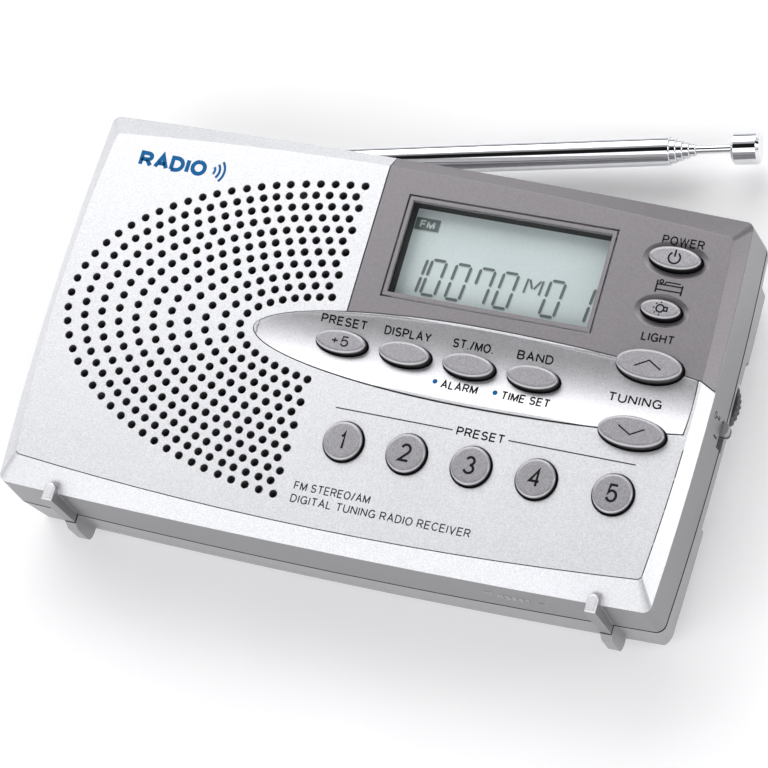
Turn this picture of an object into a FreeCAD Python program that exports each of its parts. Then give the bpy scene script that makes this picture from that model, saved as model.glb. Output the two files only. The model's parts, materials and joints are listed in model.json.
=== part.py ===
import FreeCAD, Part
import math
import os
from FreeCAD import Matrix, Vector

# A pocket AM/FM radio lying on its back. Millimetres. X runs along the width, Y up the face,
# +Z out of the face. The origin is the centre of the back's rest face.

# ---- case heights, measured from the back ----
PARTING_Z = 11.0          # the two shells meet here
EDGE_Z = 20.5             # the side walls end and the front bevel starts
FACE_Z = 22.5
WALL = 1.8
SHADOW_GAP = 0.4          # groove along the parting line
LIP_HEIGHT = 0.8          # how far the rear shell reaches inside the front shell
LIP_THICKNESS = 0.8
LIP_INSET = 2.2           # from the outline at the parting line
FUSE = 0.2                # how far a post or rib runs into the wall it grows from
BACKING_Z = 20.4          # floor of the pocket that the two front panels sit in
RIGHT_CEILING_Z = 19.2    # inside of the front wall behind the panels and buttons
LEFT_CEILING_Z = 20.6     # inside of the front wall behind the grille
SPEAKER_BAY_RIGHT = -7.0

# ---- case outlines: left, right, bottom, top of the corners, then how far each side bows out ----
BACK_OUTLINE = dict(left=-55.7, right=55.7, bottom=-32.4, top=32.4, bows=(0.9, 0.9, 0.9, 0.9), corner=1.6)
PARTING_OUTLINE = dict(left=-56.3, right=56.3, bottom=-33.0, top=33.0, bows=(1.0, 1.0, 1.1, 1.1), corner=1.4)
EDGE_OUTLINE = dict(left=-56.0, right=56.0, bottom=-32.7, top=32.7, bows=(1.0, 1.0, 0.85, 0.85), corner=1.2)
FACE_OUTLINE = dict(left=-53.6, right=53.8, bottom=-28.2, top=29.0, bows=(1.6, 1.2, 2.4, 2.3), corner=0.6)
BACK_EDGE_RADIUS = 1.6

# ---- front panels ----
PANEL_GAP = 0.2                   # dark line around the panel, the leaf and the window
DISPLAY_LEFT = -5.3
DISPLAY_CORNER = (54.4, 4.9)      # where the display panel meets the leaf's end
DISPLAY_RIM_POINT = (60.0, 2.9)
LEAF_X = 18.0                     # widest point of the leaf-shaped control panel
LEAF_Y = 0.35
LEAF_LEFT = 38.0
LEAF_RIGHT = 49.5
LEAF_HALF_HEIGHT = 6.8
LEAF_END_BOTTOM = (54.3, -4.1)
LEAF_END_MIDDLE = (54.6, 0.4)
LEAF_RIM = 0.75                   # flat margin outside the dish
LEAF_BEAD_WIDTH = 0.45
LEAF_BEAD_HEIGHT = 0.25
DISH_DEPTH = 0.8
DIMPLE_DEPTH = 0.55
DIMPLE_MARGIN = 1.2
WINDOW_MARGIN = 0.4               # the front shell's window is this much larger all round

# ---- display window ----
LENS = (-0.6, 35.4, 9.3, 27.2)
LENS_THICKNESS = 1.15
LENS_RECESS = 0.05
WINDOW = (0.1, 34.8, 10.0, 26.3)
LCD = (-1.4, 36.0, 8.4, 27.9)
LCD_TOP_Z = 19.0
LCD_THICKNESS = 1.8
LCD_FRAME = 1.2
GUIDE_THICKNESS = 1.2
ZEBRA_WIDTH = 1.8
MODULE_GAP = 0.05                 # play between the display's own layers

# ---- speaker grille: nested half-ellipses of holes ----
GRILLE_Y = 0.4
GRILLE_OUTER = (52.8, 27.1)
GRILLE_STEP = (3.04, 1.94)
GRILLE_HOLE_RADIUS = 0.68
GRILLE_END_EVEN = 8.35
GRILLE_END_ODD = 9.4
GRILLE_COUNTS = (22, 23, 21, 19, 18, 16, 14, 12, 11, 9, 8)

# ---- speaker ----
SPEAKER_X = -31.0
SPEAKER_Y = 3.5
SPEAKER_RADIUS = 21.0
SPEAKER_RING_Z = 19.0
CLOTH_THICKNESS = 0.3
BASKET_FLANGE = 1.1
BASKET_BOTTOM_Z = 13.2
BASKET_BOTTOM_RADIUS = 11.5
MAGNET_RADIUS = 10.0
MAGNET_BOTTOM_Z = 8.2
BASKET_SHEET = 0.7
BASKET_FLOOR_HOLE = 4.2
BASKET_WINDOWS = 4
CONE_EDGE_INSET = 2.5
CONE_DROP = 0.35          # the cone's edge sits this far below the flange
CONE_NECK_RADIUS = 6.5
CONE_NECK_Z = 15.4
CONE_THICKNESS = 0.5
DOME_RADIUS = 8.0
DOME_THICKNESS = 0.4
DOME_DROP = 4.9
POLE_RADIUS = 4.0
SPEAKER_RING_WALL = 1.9
SPEAKER_POST_RADIUS = 2.0
SPEAKER_SCREW_HEAD_RADIUS = 2.7
SPEAKER_SCREW_CIRCLE = 23.4
SPEAKER_SCREW_ANGLES = (60, 120, 240, 300)

# ---- buttons: x, y, half width, half height, height above the face ----
OVAL = (4.3, 1.95, 0.9)
OVAL_BUTTONS = {
    "preset_shift_button": (-4.55, 0.35),
    "display_button": (6.4, 0.35),
    "stereo_mono_button": (17.3, 0.35),
    "band_button": (28.2, 0.35),
}
PRESET_Y = -15.8
PRESET_X = (0.7, 11.5, 22.4, 33.3, 46.0)
PRESET = (3.25, 3.25, 1.0)
TUNING = (5.45, 2.55, 1.6)
TUNING_BUTTONS = {"tuning_up_button": (46.3, 5.6), "tuning_down_button": (46.4, -5.6)}
POWER_BUTTON = (45.7, 23.75)
POWER = (4.3, 1.9, 1.3)
LIGHT_BUTTON = (45.6, 15.05)
LIGHT = (3.3, 1.6, 1.2)
BUTTON_CLEARANCE = 0.26
BUTTON_EDGE = 0.45
FLANGE_MARGIN = 0.6
FLANGE_TOP_Z = 19.12
FLANGE_THICKNESS = 1.0
PLUNGER_RADIUS = 1.4
PLUNGER_BOTTOM_Z = 17.1

# ---- main board and the parts on it ----
BOARD = (-6.0, 53.6, -29.4, 30.2)
BOARD_BOTTOM_Z = 13.2
BOARD_TOP_Z = 14.2
SWITCH_HALF = 2.25
SWITCH_BODY_Z = 16.0
SWITCH_TOP_Z = 16.7
SWITCH_STEM_RADIUS = 1.0
BOARD_SCREWS = ((-3.6, 4.9), (37.5, -7.5), (11.0, -25.5), (39.3, 29.2))
BOARD_POST_RADIUS = 1.6
TUNER_CAN = (14.0, 34.0, -7.0, 9.0)
TUNER_CAN_HEIGHT = 4.0
TUNER_CAN_SHEET = 0.4
CHIP = (36.5, 44.5, -23.5, -15.5)
CHIP_THICKNESS = 1.3
CRYSTAL = (24.0, 29.0, -20.5, -18.5)
CRYSTAL_HEIGHT = 3.4
CAPACITORS = ((16.5, -13.5), (23.5, -13.5), (44.0, -6.5))
CAPACITOR_RADIUS = 2.5
CAPACITOR_HEIGHT = 7.5

# ---- case screws ----
CASE_SCREWS = ((-51.0, -27.0), (50.2, -26.0), (50.2, 19.5), (-49.0, 21.0), (-8.5, 24.0))
SCREW_RADIUS = 1.0
SCREW_HOLE_RADIUS = 1.05
SCREW_HEAD_RADIUS = 1.85
SCREW_HEAD_HEIGHT = 1.3
SCREW_HEAD_Z = 5.0
SCREW_TIP_Z = 17.0
SCREW_TIP_ROOM = 0.5
BOARD_SCREW_LENGTH = 3.5          # beyond the board
CROSS_HALF = 1.0
CROSS_DEPTH = 0.7
FRONT_POST_RADIUS = 2.1
REAR_POST_RADIUS = 2.6
HEAD_WELL_RADIUS = 2.1

# ---- right side: rear chamfer, finger recess, volume wheel, lock switch ----
CHAMFER_TOP_X = 57.4
CHAMFER_TOP_Z = 6.5
CHAMFER_BACK_X = 53.5
RECESS_HALF_LENGTH = 14.3
RECESS_DEPTH = 1.0
WHEEL_X = 51.3
WHEEL_Y = 6.1
WHEEL_RADIUS = 6.5
WHEEL_BOTTOM_Z = 6.6
WHEEL_TOP_Z = 8.9
WHEEL_SLOT_MARGIN = 0.35
WHEEL_TEETH = 40
WHEEL_TOOTH_RADIUS = 0.35
POT_RADIUS = 3.9
POT_BOTTOM_Z = 9.5
POT_SHAFT_RADIUS = 1.5
LOCK_SLOT = (-2.4, 2.2, 9.6, 13.1)
LOCK_BODY = (51.0, 54.6, -3.6, 1.8, 9.7, 13.0)
LOCK_KNOB = (0.0, 2.0, 10.1, 12.5)
LOCK_KNOB_TIP_X = 58.3
LOCK_STEM_START_X = 54.75

# ---- reset hole in the bottom wall ----
RESET_X = 37.4
RESET_Z = 15.6
RESET_RADIUS = 0.55

# ---- earphone jack in the left wall ----
JACK_Y = -21.5
JACK_Z = 15.9
JACK_BORE_RADIUS = 1.8
JACK_NOSE_RADIUS = 3.1
JACK_BODY_HALF = 3.2
JACK_BODY_END_X = -45.5
JACK_BODY_START_X = -54.6
JACK_NOSE_TIP_X = -57.0

# ---- battery compartment and door ----
COMPARTMENT = (-42.8, 6.6, -30.8, -9.8)
COMPARTMENT_WALL = 1.6
COMPARTMENT_TRAY = (-31.8, -8.9)      # the tray's lower and upper edges
COMPARTMENT_CEILING_Z = 12.4
COMPARTMENT_TOP_Z = 13.0
DOOR = (-44.3, 8.1)
DOOR_TOP_Y = -9.3
DOOR_THICKNESS = 1.5
DOOR_LIP_Z = 4.6
DOOR_LIP_INNER_Y = -31.7
DOOR_GAP = 0.12
RAIL = (0.65, 1.15)
RAIL_DEPTH = 0.7
RAIL_LENGTH = (-31.0, -12.0)
GRIP_GROOVES = 5
GRIP_FIRST_Y = -26.0
GRIP_PITCH = 1.4
GRIP_WIDTH = 0.6
GRIP_DEPTH = 0.3
GRIP_INSET = 19.0
CELL_RADIUS = 5.25
CELL_LENGTH = 43.5
CELL_NUB_RADIUS = 1.9
CELL_NUB_LENGTH = 1.0
CELL_X = -39.6
CELL_Y = (-15.05, -25.55)
CELL_Z = 7.0
CONTACT_THICKNESS = 0.4
CONTACT_HALF = 4.0
SPRING_RADIUS = 2.6
SPRING_WIRE = 0.3
SPRING_WIRE_FLATS = 16
SPRING_TURNS = 3

# ---- ferrite rod aerial for the AM band ----
FERRITE_Y = 17.0
FERRITE_Z = 7.3
FERRITE_RADIUS = 3.5
FERRITE_SPAN = (-14.0, 42.0)
COIL_SPAN = (18.0, 34.0)
COIL_RADIUS = 4.3
SADDLE_X = (-9.0, 38.0)
SADDLE_WIDTH = 3.0
SADDLE_HALF_DEPTH = 4.6

# ---- rib feet on the bottom side ----
RIB_X = (-46.0, 47.2)
RIB_HALF_WIDTH = 0.95
RIB_FRONT_TOP_Y = -31.7
RIB_FRONT_LOW_Y = -34.8
RIB_FRONT_Z = 22.4
RIB_REAR_LOW_Y = -35.5
RIB_REAR_Z = 2.2
RIB_SLOPE_Z = 8.6          # the foot slopes in from here to the joint
RIB_JOINT_Z = 10.86
RIB_JOINT_GAP = 0.12

# ---- telescopic antenna and its channel ----
CHANNEL_FLOOR_Y = 26.4
CHANNEL_WALL_Z = 8.7
CHANNEL_SKIN = 1.8
PIVOT = Vector(-52.3, 30.0, 5.5)
ANTENNA_ANGLE = 11.8              # degrees out from the channel
STUD_RADIUS = 1.5
STUD_CLEARANCE = 0.05
STUD_TOP_Z = 10.9
CLIP_RADIUS = 2.2
CLIP_Z = (10.05, 10.75)
CLIP_WELL_RADIUS = 2.5
HEAD_RADIUS = 2.8
HEAD_Z = (7.7, 8.6)
CHEEK_INNER = 0.95
CHEEK_OUTER = 2.35
CHEEK_RADIUS = 2.2
TANG_HALF = 0.9
TANG_RADIUS = 1.9
PIN_RADIUS = 0.8
PIN_CLEARANCE = 0.03
FERRULE_START = 4.2
FERRULE_END = 9.0
TUBE_RADII = (2.5, 2.15, 1.8, 1.45, 1.1)
TUBE_WALL = 0.3
TUBE_START = 5.0
TUBE_END = 88.9
INNER_TUBE_LENGTH = 78.0
TUBE_STEP = 1.05
TUBE_RIM_RADIUS = 0.22
LAST_ROD_RADIUS = 0.75
LAST_ROD_START = 24.0
ROD_EXPOSED = 6.0
CAP_RADIUS = 2.75
CAP_LENGTH = 4.7
CAP_CHAMFER = 0.5

FAR = 80.0                # longer than the whole case, for cutting tools
EPS = 0.01


# ---------------------------------------------------------------- simple shapes
def box(x0, x1, y0, y1, z0, z1):
    return Part.makeBox(x1 - x0, y1 - y0, z1 - z0, Vector(x0, y0, z0))


def disc(x, y, radius, z0, z1):
    return Part.makeCylinder(radius, z1 - z0, Vector(x, y, z0))


def tube(x, y, outer, inner, z0, z1):
    return disc(x, y, outer, z0, z1).cut(disc(x, y, inner, z0 - 1, z1 + 1))


def bar_x(x0, x1, y, z, radius):
    return Part.makeCylinder(radius, x1 - x0, Vector(x0, y, z), Vector(1, 0, 0))


def oval(x, y, half_x, half_y, z0, z1):
    """An elliptical prism, or a round one where the two half sizes are equal."""
    if abs(half_x - half_y) < EPS:
        return disc(x, y, half_x, z0, z1)
    edge = Part.Ellipse(Vector(x, y, z0), half_x, half_y).toShape()
    return Part.Face(Part.Wire([edge])).extrude(Vector(0, 0, z1 - z0))


def prism(points, z0, z1):
    corners = [Vector(x, y, z0) for x, y in points]
    wire = Part.makePolygon(corners + corners[:1])
    return Part.Face(wire).extrude(Vector(0, 0, z1 - z0))


def fuse_all(shapes):
    result = shapes[0]
    if len(shapes) > 1:
        result = result.multiFuse(shapes[1:])
    return result.removeSplitter()


def group(shapes):
    return Part.makeCompound(shapes)


def upright_edges(shape):
    return [edge for edge in shape.Edges if abs(edge.tangentAt(edge.FirstParameter).z) > 0.9]


# ---------------------------------------------------------------- bowed case outlines
def bowed_side(start, end, bow, trim):
    """A gentle arc from start to end that bulges to the right of its direction, trimmed at both ends."""
    along = (end - start).normalize()
    outward = Vector(along.y, -along.x, 0)
    middle = (start + end) * 0.5 + outward * bow
    arc = Part.Arc(start, middle, end).toShape()
    first = arc.valueAt(arc.getParameterByLength(trim))
    last = arc.valueAt(arc.getParameterByLength(arc.Length - trim))
    return Part.Arc(first, middle, last).toShape()


def case_wire(outline, z, inset=0.0):
    left = outline["left"] + inset
    right = outline["right"] - inset
    bottom = outline["bottom"] + inset
    top = outline["top"] - inset
    bow_left, bow_right, bow_bottom, bow_top = outline["bows"]
    radius = outline["corner"]
    corners = [Vector(left, bottom, z), Vector(right, bottom, z), Vector(right, top, z), Vector(left, top, z)]
    bows = [bow_bottom, bow_right, bow_top, bow_left]
    sides = [bowed_side(corners[i], corners[(i + 1) % 4], bows[i], radius) for i in range(4)]
    centre = Vector((left + right) / 2, (bottom + top) / 2, z)
    edges = []
    for i, side in enumerate(sides):
        following = sides[(i + 1) % 4]
        corner = corners[(i + 1) % 4]
        inward = Vector(math.copysign(1, centre.x - corner.x), math.copysign(1, centre.y - corner.y), 0)
        middle = corner + inward * radius * (1 - math.sqrt(0.5))
        start = side.valueAt(side.LastParameter)
        end = following.valueAt(following.FirstParameter)
        edges += [side, Part.Arc(start, middle, end).toShape()]
    return Part.Wire(edges)


def case_loft(low, low_z, high, high_z):
    return Part.makeLoft([case_wire(low, low_z), case_wire(high, high_z)], True, True)


def case_prism(outline, inset, z0, z1):
    return Part.Face(case_wire(outline, z0, inset)).extrude(Vector(0, 0, z1 - z0))


def front_body():
    walls = case_loft(PARTING_OUTLINE, PARTING_Z, EDGE_OUTLINE, EDGE_Z)
    bevel = case_loft(EDGE_OUTLINE, EDGE_Z, FACE_OUTLINE, FACE_Z)
    return walls.fuse(bevel)


# ---------------------------------------------------------------- front panels
def half_ellipse(half_x, half_y, side, z0, z1):
    """One end of the leaf: the half of an ellipse to the left (side -1) or right (side 1) of its middle."""
    whole = oval(LEAF_X, LEAF_Y, half_x, half_y, z0, z1)
    near, far = sorted((LEAF_X, LEAF_X + side * FAR))
    return whole.common(box(near, far, -FAR, FAR, z0 - 1, z1 + 1))


def leaf_prism(grow, z0, z1):
    height = LEAF_HALF_HEIGHT + grow
    left = half_ellipse(LEAF_LEFT + grow, height, -1, z0, z1)
    right = half_ellipse(LEAF_RIGHT + grow, height, 1, z0, z1)
    top_end = Vector(DISPLAY_CORNER[0] + grow, DISPLAY_CORNER[1] + 1.0, z0)
    middle = Vector(LEAF_END_MIDDLE[0] + grow, LEAF_END_MIDDLE[1], z0)
    low_end = Vector(LEAF_END_BOTTOM[0] + grow, LEAF_END_BOTTOM[1] - 1.0, z0)
    start = Vector(LEAF_X - LEAF_LEFT - 5, low_end.y - 5, z0)
    keep = Part.Wire([
        Part.Arc(low_end, middle, top_end).toShape(),
        Part.makeLine(top_end, Vector(top_end.x, top_end.y + 5, z0)),
        Part.makeLine(Vector(top_end.x, top_end.y + 5, z0), Vector(start.x, top_end.y + 5, z0)),
        Part.makeLine(Vector(start.x, top_end.y + 5, z0), start),
        Part.makeLine(start, Vector(low_end.x, start.y, z0)),
        Part.makeLine(Vector(low_end.x, start.y, z0), low_end),
    ])
    end_limit = Part.Face(keep).extrude(Vector(0, 0, z1 - z0))
    return left.fuse(right).removeSplitter().common(end_limit)


def display_region(gap, z0, z1):
    """The display panel's area, down to the leaf's upper edge and out past the case's right and top sides."""
    left = DISPLAY_LEFT + gap
    corner_x, corner_y = DISPLAY_CORNER
    rim_x, rim_y = DISPLAY_RIM_POINT
    points = [(left, LEAF_Y), (corner_x, LEAF_Y), (corner_x, corner_y + gap), (rim_x, rim_y + gap)]
    points += [(rim_x, FAR), (left, FAR)]
    return prism(points, z0, z1).cut(leaf_prism(0, z0 - 1, z1 + 1))


def shallow_bowl(x, y, half_x, half_y, depth, z):
    """A cutter that leaves a shallow elliptical bowl, depth deep, in the plane at height z."""
    base = 10.0
    radius = (base * base + depth * depth) / (2 * depth)
    ball = Part.makeSphere(radius, Vector(0, 0, z + radius - depth))
    cap = ball.common(box(-base, base, -base, base, z - depth - 1, z + 0.5))
    stretch = Matrix()
    stretch.scale(half_x / base, half_y / base, 1)
    stretch.move(Vector(x, y, 0))
    return cap.transformGeometry(stretch)


def leaf_dish():
    height = LEAF_HALF_HEIGHT - LEAF_RIM
    left = shallow_bowl(LEAF_X, LEAF_Y, LEAF_LEFT - LEAF_RIM, height, DISH_DEPTH, FACE_Z)
    right = shallow_bowl(LEAF_X, LEAF_Y, LEAF_RIGHT - LEAF_RIM, height, DISH_DEPTH, FACE_Z)
    left = left.common(box(-FAR, LEAF_X, -FAR, FAR, 0, FAR))
    right = right.common(box(LEAF_X, FAR, -FAR, FAR, 0, FAR))
    return [left, right]


def all_buttons():
    """Each button as name, x, y, (half width, half height, height above the face)."""
    buttons = [(name, x, y, OVAL) for name, (x, y) in OVAL_BUTTONS.items()]
    buttons += [(f"preset_button_{i + 1}", x, PRESET_Y, PRESET) for i, x in enumerate(PRESET_X)]
    buttons += [(name, x, y, TUNING) for name, (x, y) in TUNING_BUTTONS.items()]
    buttons += [("power_button", *POWER_BUTTON, POWER), ("light_button", *LIGHT_BUTTON, LIGHT)]
    return buttons


def button_holes(z0, z1):
    holes = []
    for _, x, y, (half_x, half_y, _) in all_buttons():
        holes.append(oval(x, y, half_x + BUTTON_CLEARANCE, half_y + BUTTON_CLEARANCE, z0, z1))
    return holes


def display_panel():
    skin = front_body().common(display_region(PANEL_GAP, EDGE_Z, FACE_Z + 1))
    x0, x1, y0, y1 = LENS
    cutters = [box(x0, x1, y0, y1, FACE_Z - LENS_THICKNESS - LENS_RECESS, FAR)]
    x0, x1, y0, y1 = WINDOW
    cutters.append(box(x0, x1, y0, y1, 0, FAR))
    for (x, y), (half_x, half_y, _) in ((POWER_BUTTON, POWER), (LIGHT_BUTTON, LIGHT)):
        dimple_x = half_x + DIMPLE_MARGIN
        dimple_y = half_y + DIMPLE_MARGIN
        cutters.append(shallow_bowl(x, y, dimple_x, dimple_y, DIMPLE_DEPTH, FACE_Z))
    return skin.cut(cutters + button_holes(EDGE_Z - 1, FAR))


def control_panel():
    leaf = leaf_prism(-PANEL_GAP, EDGE_Z, FACE_Z + LEAF_BEAD_HEIGHT)
    inside_bead = leaf_prism(-PANEL_GAP - LEAF_BEAD_WIDTH, FACE_Z, FAR)
    return leaf.cut([inside_bead] + leaf_dish() + button_holes(EDGE_Z - 1, FAR))


def display_lens():
    x0, x1, y0, y1 = LENS
    top = FACE_Z - LENS_RECESS
    lens = box(x0 + PANEL_GAP, x1 - PANEL_GAP, y0 + PANEL_GAP, y1 - PANEL_GAP, top - LENS_THICKNESS, top)
    return lens.makeFillet(0.3, upright_edges(lens))


# ---------------------------------------------------------------- front shell
def arc_spots(half_x, half_y, end_x, count, on_axis):
    """Evenly spaced points along the left half of an ellipse, from its left tip up to x = -end_x."""
    steps = 400
    last_angle = math.acos(end_x / half_x)
    angles = [last_angle * i / steps for i in range(steps + 1)]
    points = [(-half_x * math.cos(a), half_y * math.sin(a)) for a in angles]
    lengths = [0.0]
    for previous, point in zip(points, points[1:]):
        lengths.append(lengths[-1] + math.dist(previous, point))
    pitch = lengths[-1] / (count if on_axis else count - 0.5)
    offset = 0.0 if on_axis else 0.5 * pitch
    wanted = [offset + pitch * i for i in range(count + 1 if on_axis else count)]
    return [min(zip(lengths, points), key=lambda pair: abs(pair[0] - goal))[1] for goal in wanted]


def grille_holes():
    holes = []
    for row, count in enumerate(GRILLE_COUNTS):
        half_x = GRILLE_OUTER[0] - row * GRILLE_STEP[0]
        half_y = GRILLE_OUTER[1] - row * GRILLE_STEP[1]
        on_axis = row % 2 == 0
        end_x = GRILLE_END_EVEN if on_axis else GRILLE_END_ODD
        for x, y in arc_spots(half_x, half_y, end_x, count, on_axis):
            holes.append(disc(x, GRILLE_Y + y, GRILLE_HOLE_RADIUS, LEFT_CEILING_Z - 2, FAR))
            if y > EPS:
                holes.append(disc(x, GRILLE_Y - y, GRILLE_HOLE_RADIUS, LEFT_CEILING_Z - 2, FAR))
    return holes


def post(x, y, radius, z0, z1, bore_top):
    """A screw post that hangs from the front wall, with a blind bore from its lower end."""
    return disc(x, y, radius, z0, z1).cut(disc(x, y, SCREW_HOLE_RADIUS, z0 - 1, bore_top))


def speaker_screw_places():
    places = []
    for angle in SPEAKER_SCREW_ANGLES:
        turn = math.radians(angle)
        x = SPEAKER_X + SPEAKER_SCREW_CIRCLE * math.cos(turn)
        y = SPEAKER_Y + SPEAKER_SCREW_CIRCLE * math.sin(turn)
        places.append((x, y))
    return places


def rib_front(x):
    """The front half of a foot: an upright bar with a round top, as seen from the front."""
    round_y = RIB_FRONT_TOP_Y - RIB_HALF_WIDTH
    low = RIB_FRONT_LOW_Y
    z0 = RIB_JOINT_Z
    bar = box(x - RIB_HALF_WIDTH, x + RIB_HALF_WIDTH, low, round_y, z0, RIB_FRONT_Z)
    bar = bar.fuse(disc(x, round_y, RIB_HALF_WIDTH, z0, RIB_FRONT_Z)).removeSplitter()
    return bar.makeFillet(0.4, [edge for edge in bar.Edges if edge.CenterOfMass.z > RIB_FRONT_Z - EPS])


def rib_rear(x):
    """The rear half of a foot. It grows deeper away from the front half and has a rounded rear end."""
    low = RIB_REAR_LOW_Y
    top = PARTING_OUTLINE["bottom"] + WALL
    joint_z = RIB_JOINT_Z - RIB_JOINT_GAP
    side = [(top, RIB_REAR_Z), (low, RIB_REAR_Z), (low, RIB_SLOPE_Z)]
    side += [(RIB_FRONT_LOW_Y, joint_z), (top, joint_z)]
    corners = [Vector(x - RIB_HALF_WIDTH, y, z) for y, z in side]
    bar = Part.Face(Part.makePolygon(corners + corners[:1])).extrude(Vector(2 * RIB_HALF_WIDTH, 0, 0))
    rear_low = [e for e in bar.Edges if e.CenterOfMass.z < RIB_REAR_Z + EPS and e.CenterOfMass.y < low + EPS]
    return bar.makeFillet(1.8, rear_low)


def front_cavity():
    low = case_prism(PARTING_OUTLINE, WALL + 0.25, PARTING_Z - 1, RIGHT_CEILING_Z)
    high = case_prism(PARTING_OUTLINE, WALL + 0.25, RIGHT_CEILING_Z - EPS, LEFT_CEILING_Z)
    high = high.common(box(-FAR, SPEAKER_BAY_RIGHT, -FAR, FAR, 0, FAR))
    tip_pad = box(LEAF_X - LEAF_LEFT - 2, SPEAKER_BAY_RIGHT + 1, -8, 9, RIGHT_CEILING_Z, FAR)
    bevel_room = case_prism(FACE_OUTLINE, WALL, 0, FAR)
    return [low, high.cut(tip_pad).common(bevel_room)]


def front_shell():
    shell = front_body().cut(front_cavity())
    right_root = RIGHT_CEILING_Z + FUSE
    left_root = LEFT_CEILING_Z + FUSE
    ring_inner = SPEAKER_RADIUS - SPEAKER_RING_WALL
    additions = [tube(SPEAKER_X, SPEAKER_Y, SPEAKER_RADIUS + FUSE, ring_inner, SPEAKER_RING_Z, left_root)]
    for x, y in CASE_SCREWS:
        bore_top = SCREW_TIP_Z + SCREW_TIP_ROOM
        additions.append(post(x, y, FRONT_POST_RADIUS, PARTING_Z, LEFT_CEILING_Z, bore_top))
    for x, y in BOARD_SCREWS:
        bore_top = RIGHT_CEILING_Z - SCREW_TIP_ROOM
        additions.append(post(x, y, BOARD_POST_RADIUS, BOARD_TOP_Z, right_root, bore_top))
    flange_bottom = SPEAKER_RING_Z - CLOTH_THICKNESS - BASKET_FLANGE
    for x, y in speaker_screw_places():
        bore_top = SPEAKER_RING_Z + 2 * SCREW_TIP_ROOM
        additions.append(post(x, y, SPEAKER_POST_RADIUS, flange_bottom, left_root, bore_top))
    additions += [rib_front(x) for x in RIB_X]
    shell = fuse_all([shell] + additions)

    pocket = [display_region(0, BACKING_Z, FAR), leaf_prism(0, BACKING_Z, FAR)]
    x0, x1, y0, y1 = WINDOW
    margin = WINDOW_MARGIN
    window = box(x0 - margin, x1 + margin, y0 - margin, y1 + margin, 0, FAR)
    y0, y1, z0, z1 = LOCK_SLOT
    lock_slot = box(LOCK_STEM_START_X - 1.5, FAR, y0, y1, z0, z1)
    jack_hole = bar_x(-FAR, JACK_BODY_START_X + 1, JACK_Y, JACK_Z, JACK_NOSE_RADIUS + 0.1)
    reset_depth = 2 * WALL
    reset_start = Vector(RESET_X, EDGE_OUTLINE["bottom"] - reset_depth, RESET_Z)
    reset_hole = Part.makeCylinder(RESET_RADIUS, 2 * reset_depth, reset_start, Vector(0, 1, 0))
    holes = button_holes(RIGHT_CEILING_Z - 1, FAR)
    return shell.cut(pocket + [window, lock_slot, jack_hole, reset_hole] + holes + grille_holes())


# ---------------------------------------------------------------- rear shell and battery door
def right_side_chamfer(depth, y0, y1):
    """A wedge cutter along the right rear edge, depth further in than the plain chamfer."""
    lean = (CHAMFER_TOP_X - CHAMFER_BACK_X) / CHAMFER_TOP_Z
    z0 = -1.0
    z1 = CHAMFER_TOP_Z + (depth + 0.6) / lean
    start_x = CHAMFER_BACK_X - depth
    slope = [Vector(start_x + lean * z0, y0, z0), Vector(start_x + lean * z1, y0, z1)]
    corners = slope + [Vector(FAR, y0, z1), Vector(FAR, y0, z0)]
    face = Part.Face(Part.makePolygon(corners + corners[:1]))
    return face.extrude(Vector(0, y1 - y0, 0))


def antenna_channel():
    return box(-FAR, FAR, CHANNEL_FLOOR_Y, FAR, -1, CHANNEL_WALL_Z)


def rear_body():
    body = case_loft(BACK_OUTLINE, 0, PARTING_OUTLINE, PARTING_Z - SHADOW_GAP)
    back_edges = [edge for edge in body.Edges if edge.BoundBox.ZMax < EPS]
    body = body.makeFillet(BACK_EDGE_RADIUS, back_edges)
    body = body.cut([right_side_chamfer(0, -FAR, FAR), antenna_channel()])
    return body.cut(right_side_chamfer(RECESS_DEPTH, -RECESS_HALF_LENGTH, RECESS_HALF_LENGTH))


def door_block(gap, top_gap):
    """The door's place in the back: a plate with a lip that turns up the bottom side."""
    x0, x1 = DOOR
    plate = box(x0 - gap, x1 + gap, -FAR, DOOR_TOP_Y + gap, -1, DOOR_THICKNESS + top_gap)
    lip = box(x0 - gap, x1 + gap, -FAR, DOOR_LIP_INNER_Y + gap, -1, DOOR_LIP_Z + top_gap)
    return plate.fuse(lip)


def door_rails(gap, start=RAIL_LENGTH[0]):
    """The tongues along the door's short edges or, with a gap and a far start, the grooves they run in."""
    x0, x1 = DOOR
    z0, z1 = RAIL
    rails = []
    for outer, inner in ((x0 - RAIL_DEPTH, x0 + EPS), (x1 - EPS, x1 + RAIL_DEPTH)):
        rails.append(box(outer - gap, inner + gap, start, RAIL_LENGTH[1] + gap, z0 - gap, z1 + gap))
    return rails


def rear_cavity():
    """The inside of the rear shell, without the antenna channel's walls and the right edge's slope."""
    low = case_prism(BACK_OUTLINE, WALL + 0.2, WALL, PARTING_Z + 1)
    slope_x = CHAMFER_BACK_X - 2.2 * WALL
    recess_half = RECESS_HALF_LENGTH + WALL
    behind_slope = box(slope_x, FAR, -FAR, FAR, 0, CHAMFER_TOP_Z - WALL)
    behind_recess = box(slope_x, FAR, -recess_half, recess_half, 0, WHEEL_BOTTOM_Z - 0.7)
    behind_channel = box(-FAR, FAR, CHANNEL_FLOOR_Y - CHANNEL_SKIN, FAR, 0, CHANNEL_WALL_Z + CHANNEL_SKIN)
    return low.cut([behind_slope, behind_recess, behind_channel])


def rear_lip():
    """The raised inner lip that slides inside the front shell's wall."""
    z1 = PARTING_Z + LIP_HEIGHT
    outer = case_prism(PARTING_OUTLINE, LIP_INSET, PARTING_Z - 2, z1)
    inner = case_prism(PARTING_OUTLINE, LIP_INSET + LIP_THICKNESS, PARTING_Z - 3, z1 + 1)
    return outer.cut(inner)


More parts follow.
